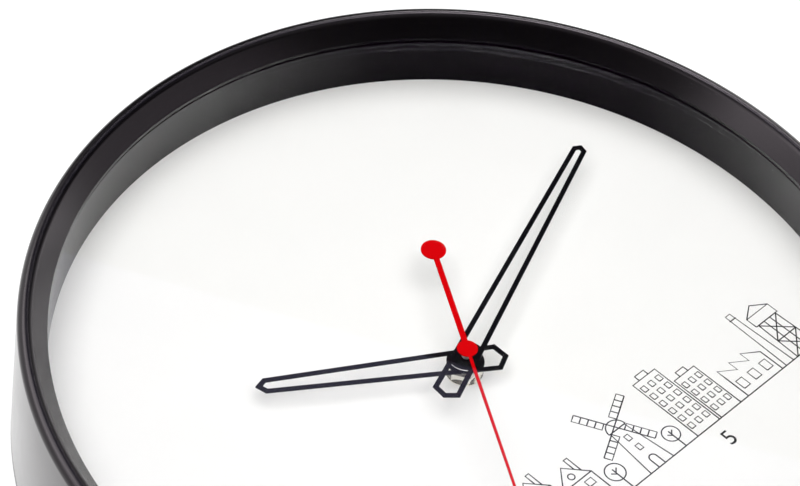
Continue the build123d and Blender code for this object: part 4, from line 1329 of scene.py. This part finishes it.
class CLOCK_OT_centre(bpy.types.Operator):
    """Finishes the nut, the washers and the shafts under the hands."""

    bl_idname = "clock.centre"
    bl_label = "Finish the centre"

    NUT_EDGE = 0.15 * MM
    NUT_EDGE_STEPS = 3

    def execute(self, context):
        even = (200.0, 200.0, 200.0)
        chrome = metal("chrome_nut", (0.92, 0.89, 0.82), 0.06, 0.16, stretch=even, bump=0.04)
        finish_nodes(chrome, "fixing_nut", "nut_washer")
        soften("fixing_nut", self.NUT_EDGE, self.NUT_EDGE_STEPS)
        rubber = plastic("washer_rubber", (0.02, 0.02, 0.021), 0.7, 0.85, bump=0.2)
        finish_nodes(rubber, "rubber_washer")
        satin = plastic("satin_plate", (0.80, 0.78, 0.78), 0.35, 0.5, grain=3000.0, bump=0.02)
        finish_nodes(satin, "minute_arbor")
        finish_nodes(metal("arbor_steel", (0.55, 0.55, 0.57), 0.15, 0.3), "second_arbor")
        return {"FINISHED"}


class CLOCK_OT_back(bpy.types.Operator):
    """Finishes the ribbed back plate and its screws."""

    bl_idname = "clock.back"
    bl_label = "Finish the back"

    def execute(self, context):
        black = plastic("back_black", (0.016, 0.016, 0.017), 0.42, 0.58, grain=1600.0, bump=0.25)
        finish_nodes(black, "back_plate")
        zinc = metal("zinc_plate", (0.58, 0.59, 0.60), 0.22, 0.38, stretch=(300.0, 300.0, 300.0))
        finish_nodes(zinc, "back_screws")
        return {"FINISHED"}


class CLOCK_OT_movement(bpy.types.Operator):
    """Finishes the movement's box, its wheels, its motor, its circuit and its cell."""

    bl_idname = "clock.movement"
    bl_label = "Finish the movement"

    WHEELS = (
        "train_bridge",
        "hour_wheel",
        "centre_wheel",
        "motion_wheel",
        "setting_knob",
        "third_wheel",
        "second_wheel",
        "step_wheel",
        "rotor_pinion",
        "coil_bobbin",
    )
    WIRE_PITCH = 0.25 * MM

    def execute(self, context):
        box = plastic("movement_black", (0.013, 0.013, 0.014), 0.34, 0.48, grain=2000.0, bump=0.18)
        finish_nodes(box, "movement_housing", "movement_cover")
        acetal = plastic("acetal_white", (0.78, 0.77, 0.72), 0.35, 0.5, grain=1800.0, bump=0.05, drift=0.04)
        finish_nodes(acetal, *self.WHEELS)
        steel = metal("lamination_steel", (0.50, 0.50, 0.52), 0.25, 0.45, stretch=(900.0, 900.0, 60.0))
        finish_nodes(steel, "stator_plate", "coil_core")
        spring = metal("contact_nickel", (0.66, 0.65, 0.62), 0.18, 0.32, stretch=(900.0, 60.0, 900.0))
        finish_nodes(spring, "positive_contact", "negative_contact", "quartz_crystal")
        finish_nodes(plastic("magnet_grey", (0.10, 0.10, 0.11), 0.5, 0.65, bump=0.2), "rotor_magnet")
        finish_nodes(copper_turns(self.WIRE_PITCH), "coil_winding")
        finish_nodes(plastic("board_green", (0.02, 0.13, 0.05), 0.25, 0.4), "circuit_board")
        finish_nodes(plastic("chip_black", (0.010, 0.010, 0.011), 0.3, 0.45, bump=0.15), "control_chip")
        low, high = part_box("battery_cell")
        finish_nodes(cell_sleeve(low.x, high.x), "battery_cell")
        return {"FINISHED"}


OPERATORS = (
    CLOCK_OT_stage,
    CLOCK_OT_case,
    CLOCK_OT_glass,
    CLOCK_OT_dial,
    CLOCK_OT_hands,
    CLOCK_OT_centre,
    CLOCK_OT_back,
    CLOCK_OT_movement,
)


class CLOCK_PT_looks(bpy.types.Panel):
    """Lists the clock's steps in the sidebar."""

    bl_idname = "CLOCK_PT_looks"
    bl_label = "Wall clock"
    bl_space_type = "VIEW_3D"
    bl_region_type = "UI"
    bl_category = "Clock"

    def draw(self, context):
        for operator in OPERATORS:
            self.layout.operator(operator.bl_idname)


SETTINGS = {
    "clock_case": ClockCaseSettings,
    "clock_dial": ClockDialSettings,
    "clock_hands": ClockHandSettings,
    "clock_stage": ClockStageSettings,
}


def register():
    for name, group in SETTINGS.items():
        bpy.utils.register_class(group)
        setattr(bpy.types.Scene, name, PointerProperty(type=group))
    for cls in (*OPERATORS, CLOCK_PT_looks):
        bpy.utils.register_class(cls)


def unregister():
    for cls in reversed((*OPERATORS, CLOCK_PT_looks)):
        bpy.utils.unregister_class(cls)
    for name, group in reversed(SETTINGS.items()):
        delattr(bpy.types.Scene, name)
        bpy.utils.unregister_class(group)


def main():
    register()
    for operator in OPERATORS:
        module, name = operator.bl_idname.split(".")
        getattr(getattr(bpy.ops, module), name)()


if __name__ == "__main__":
    main()
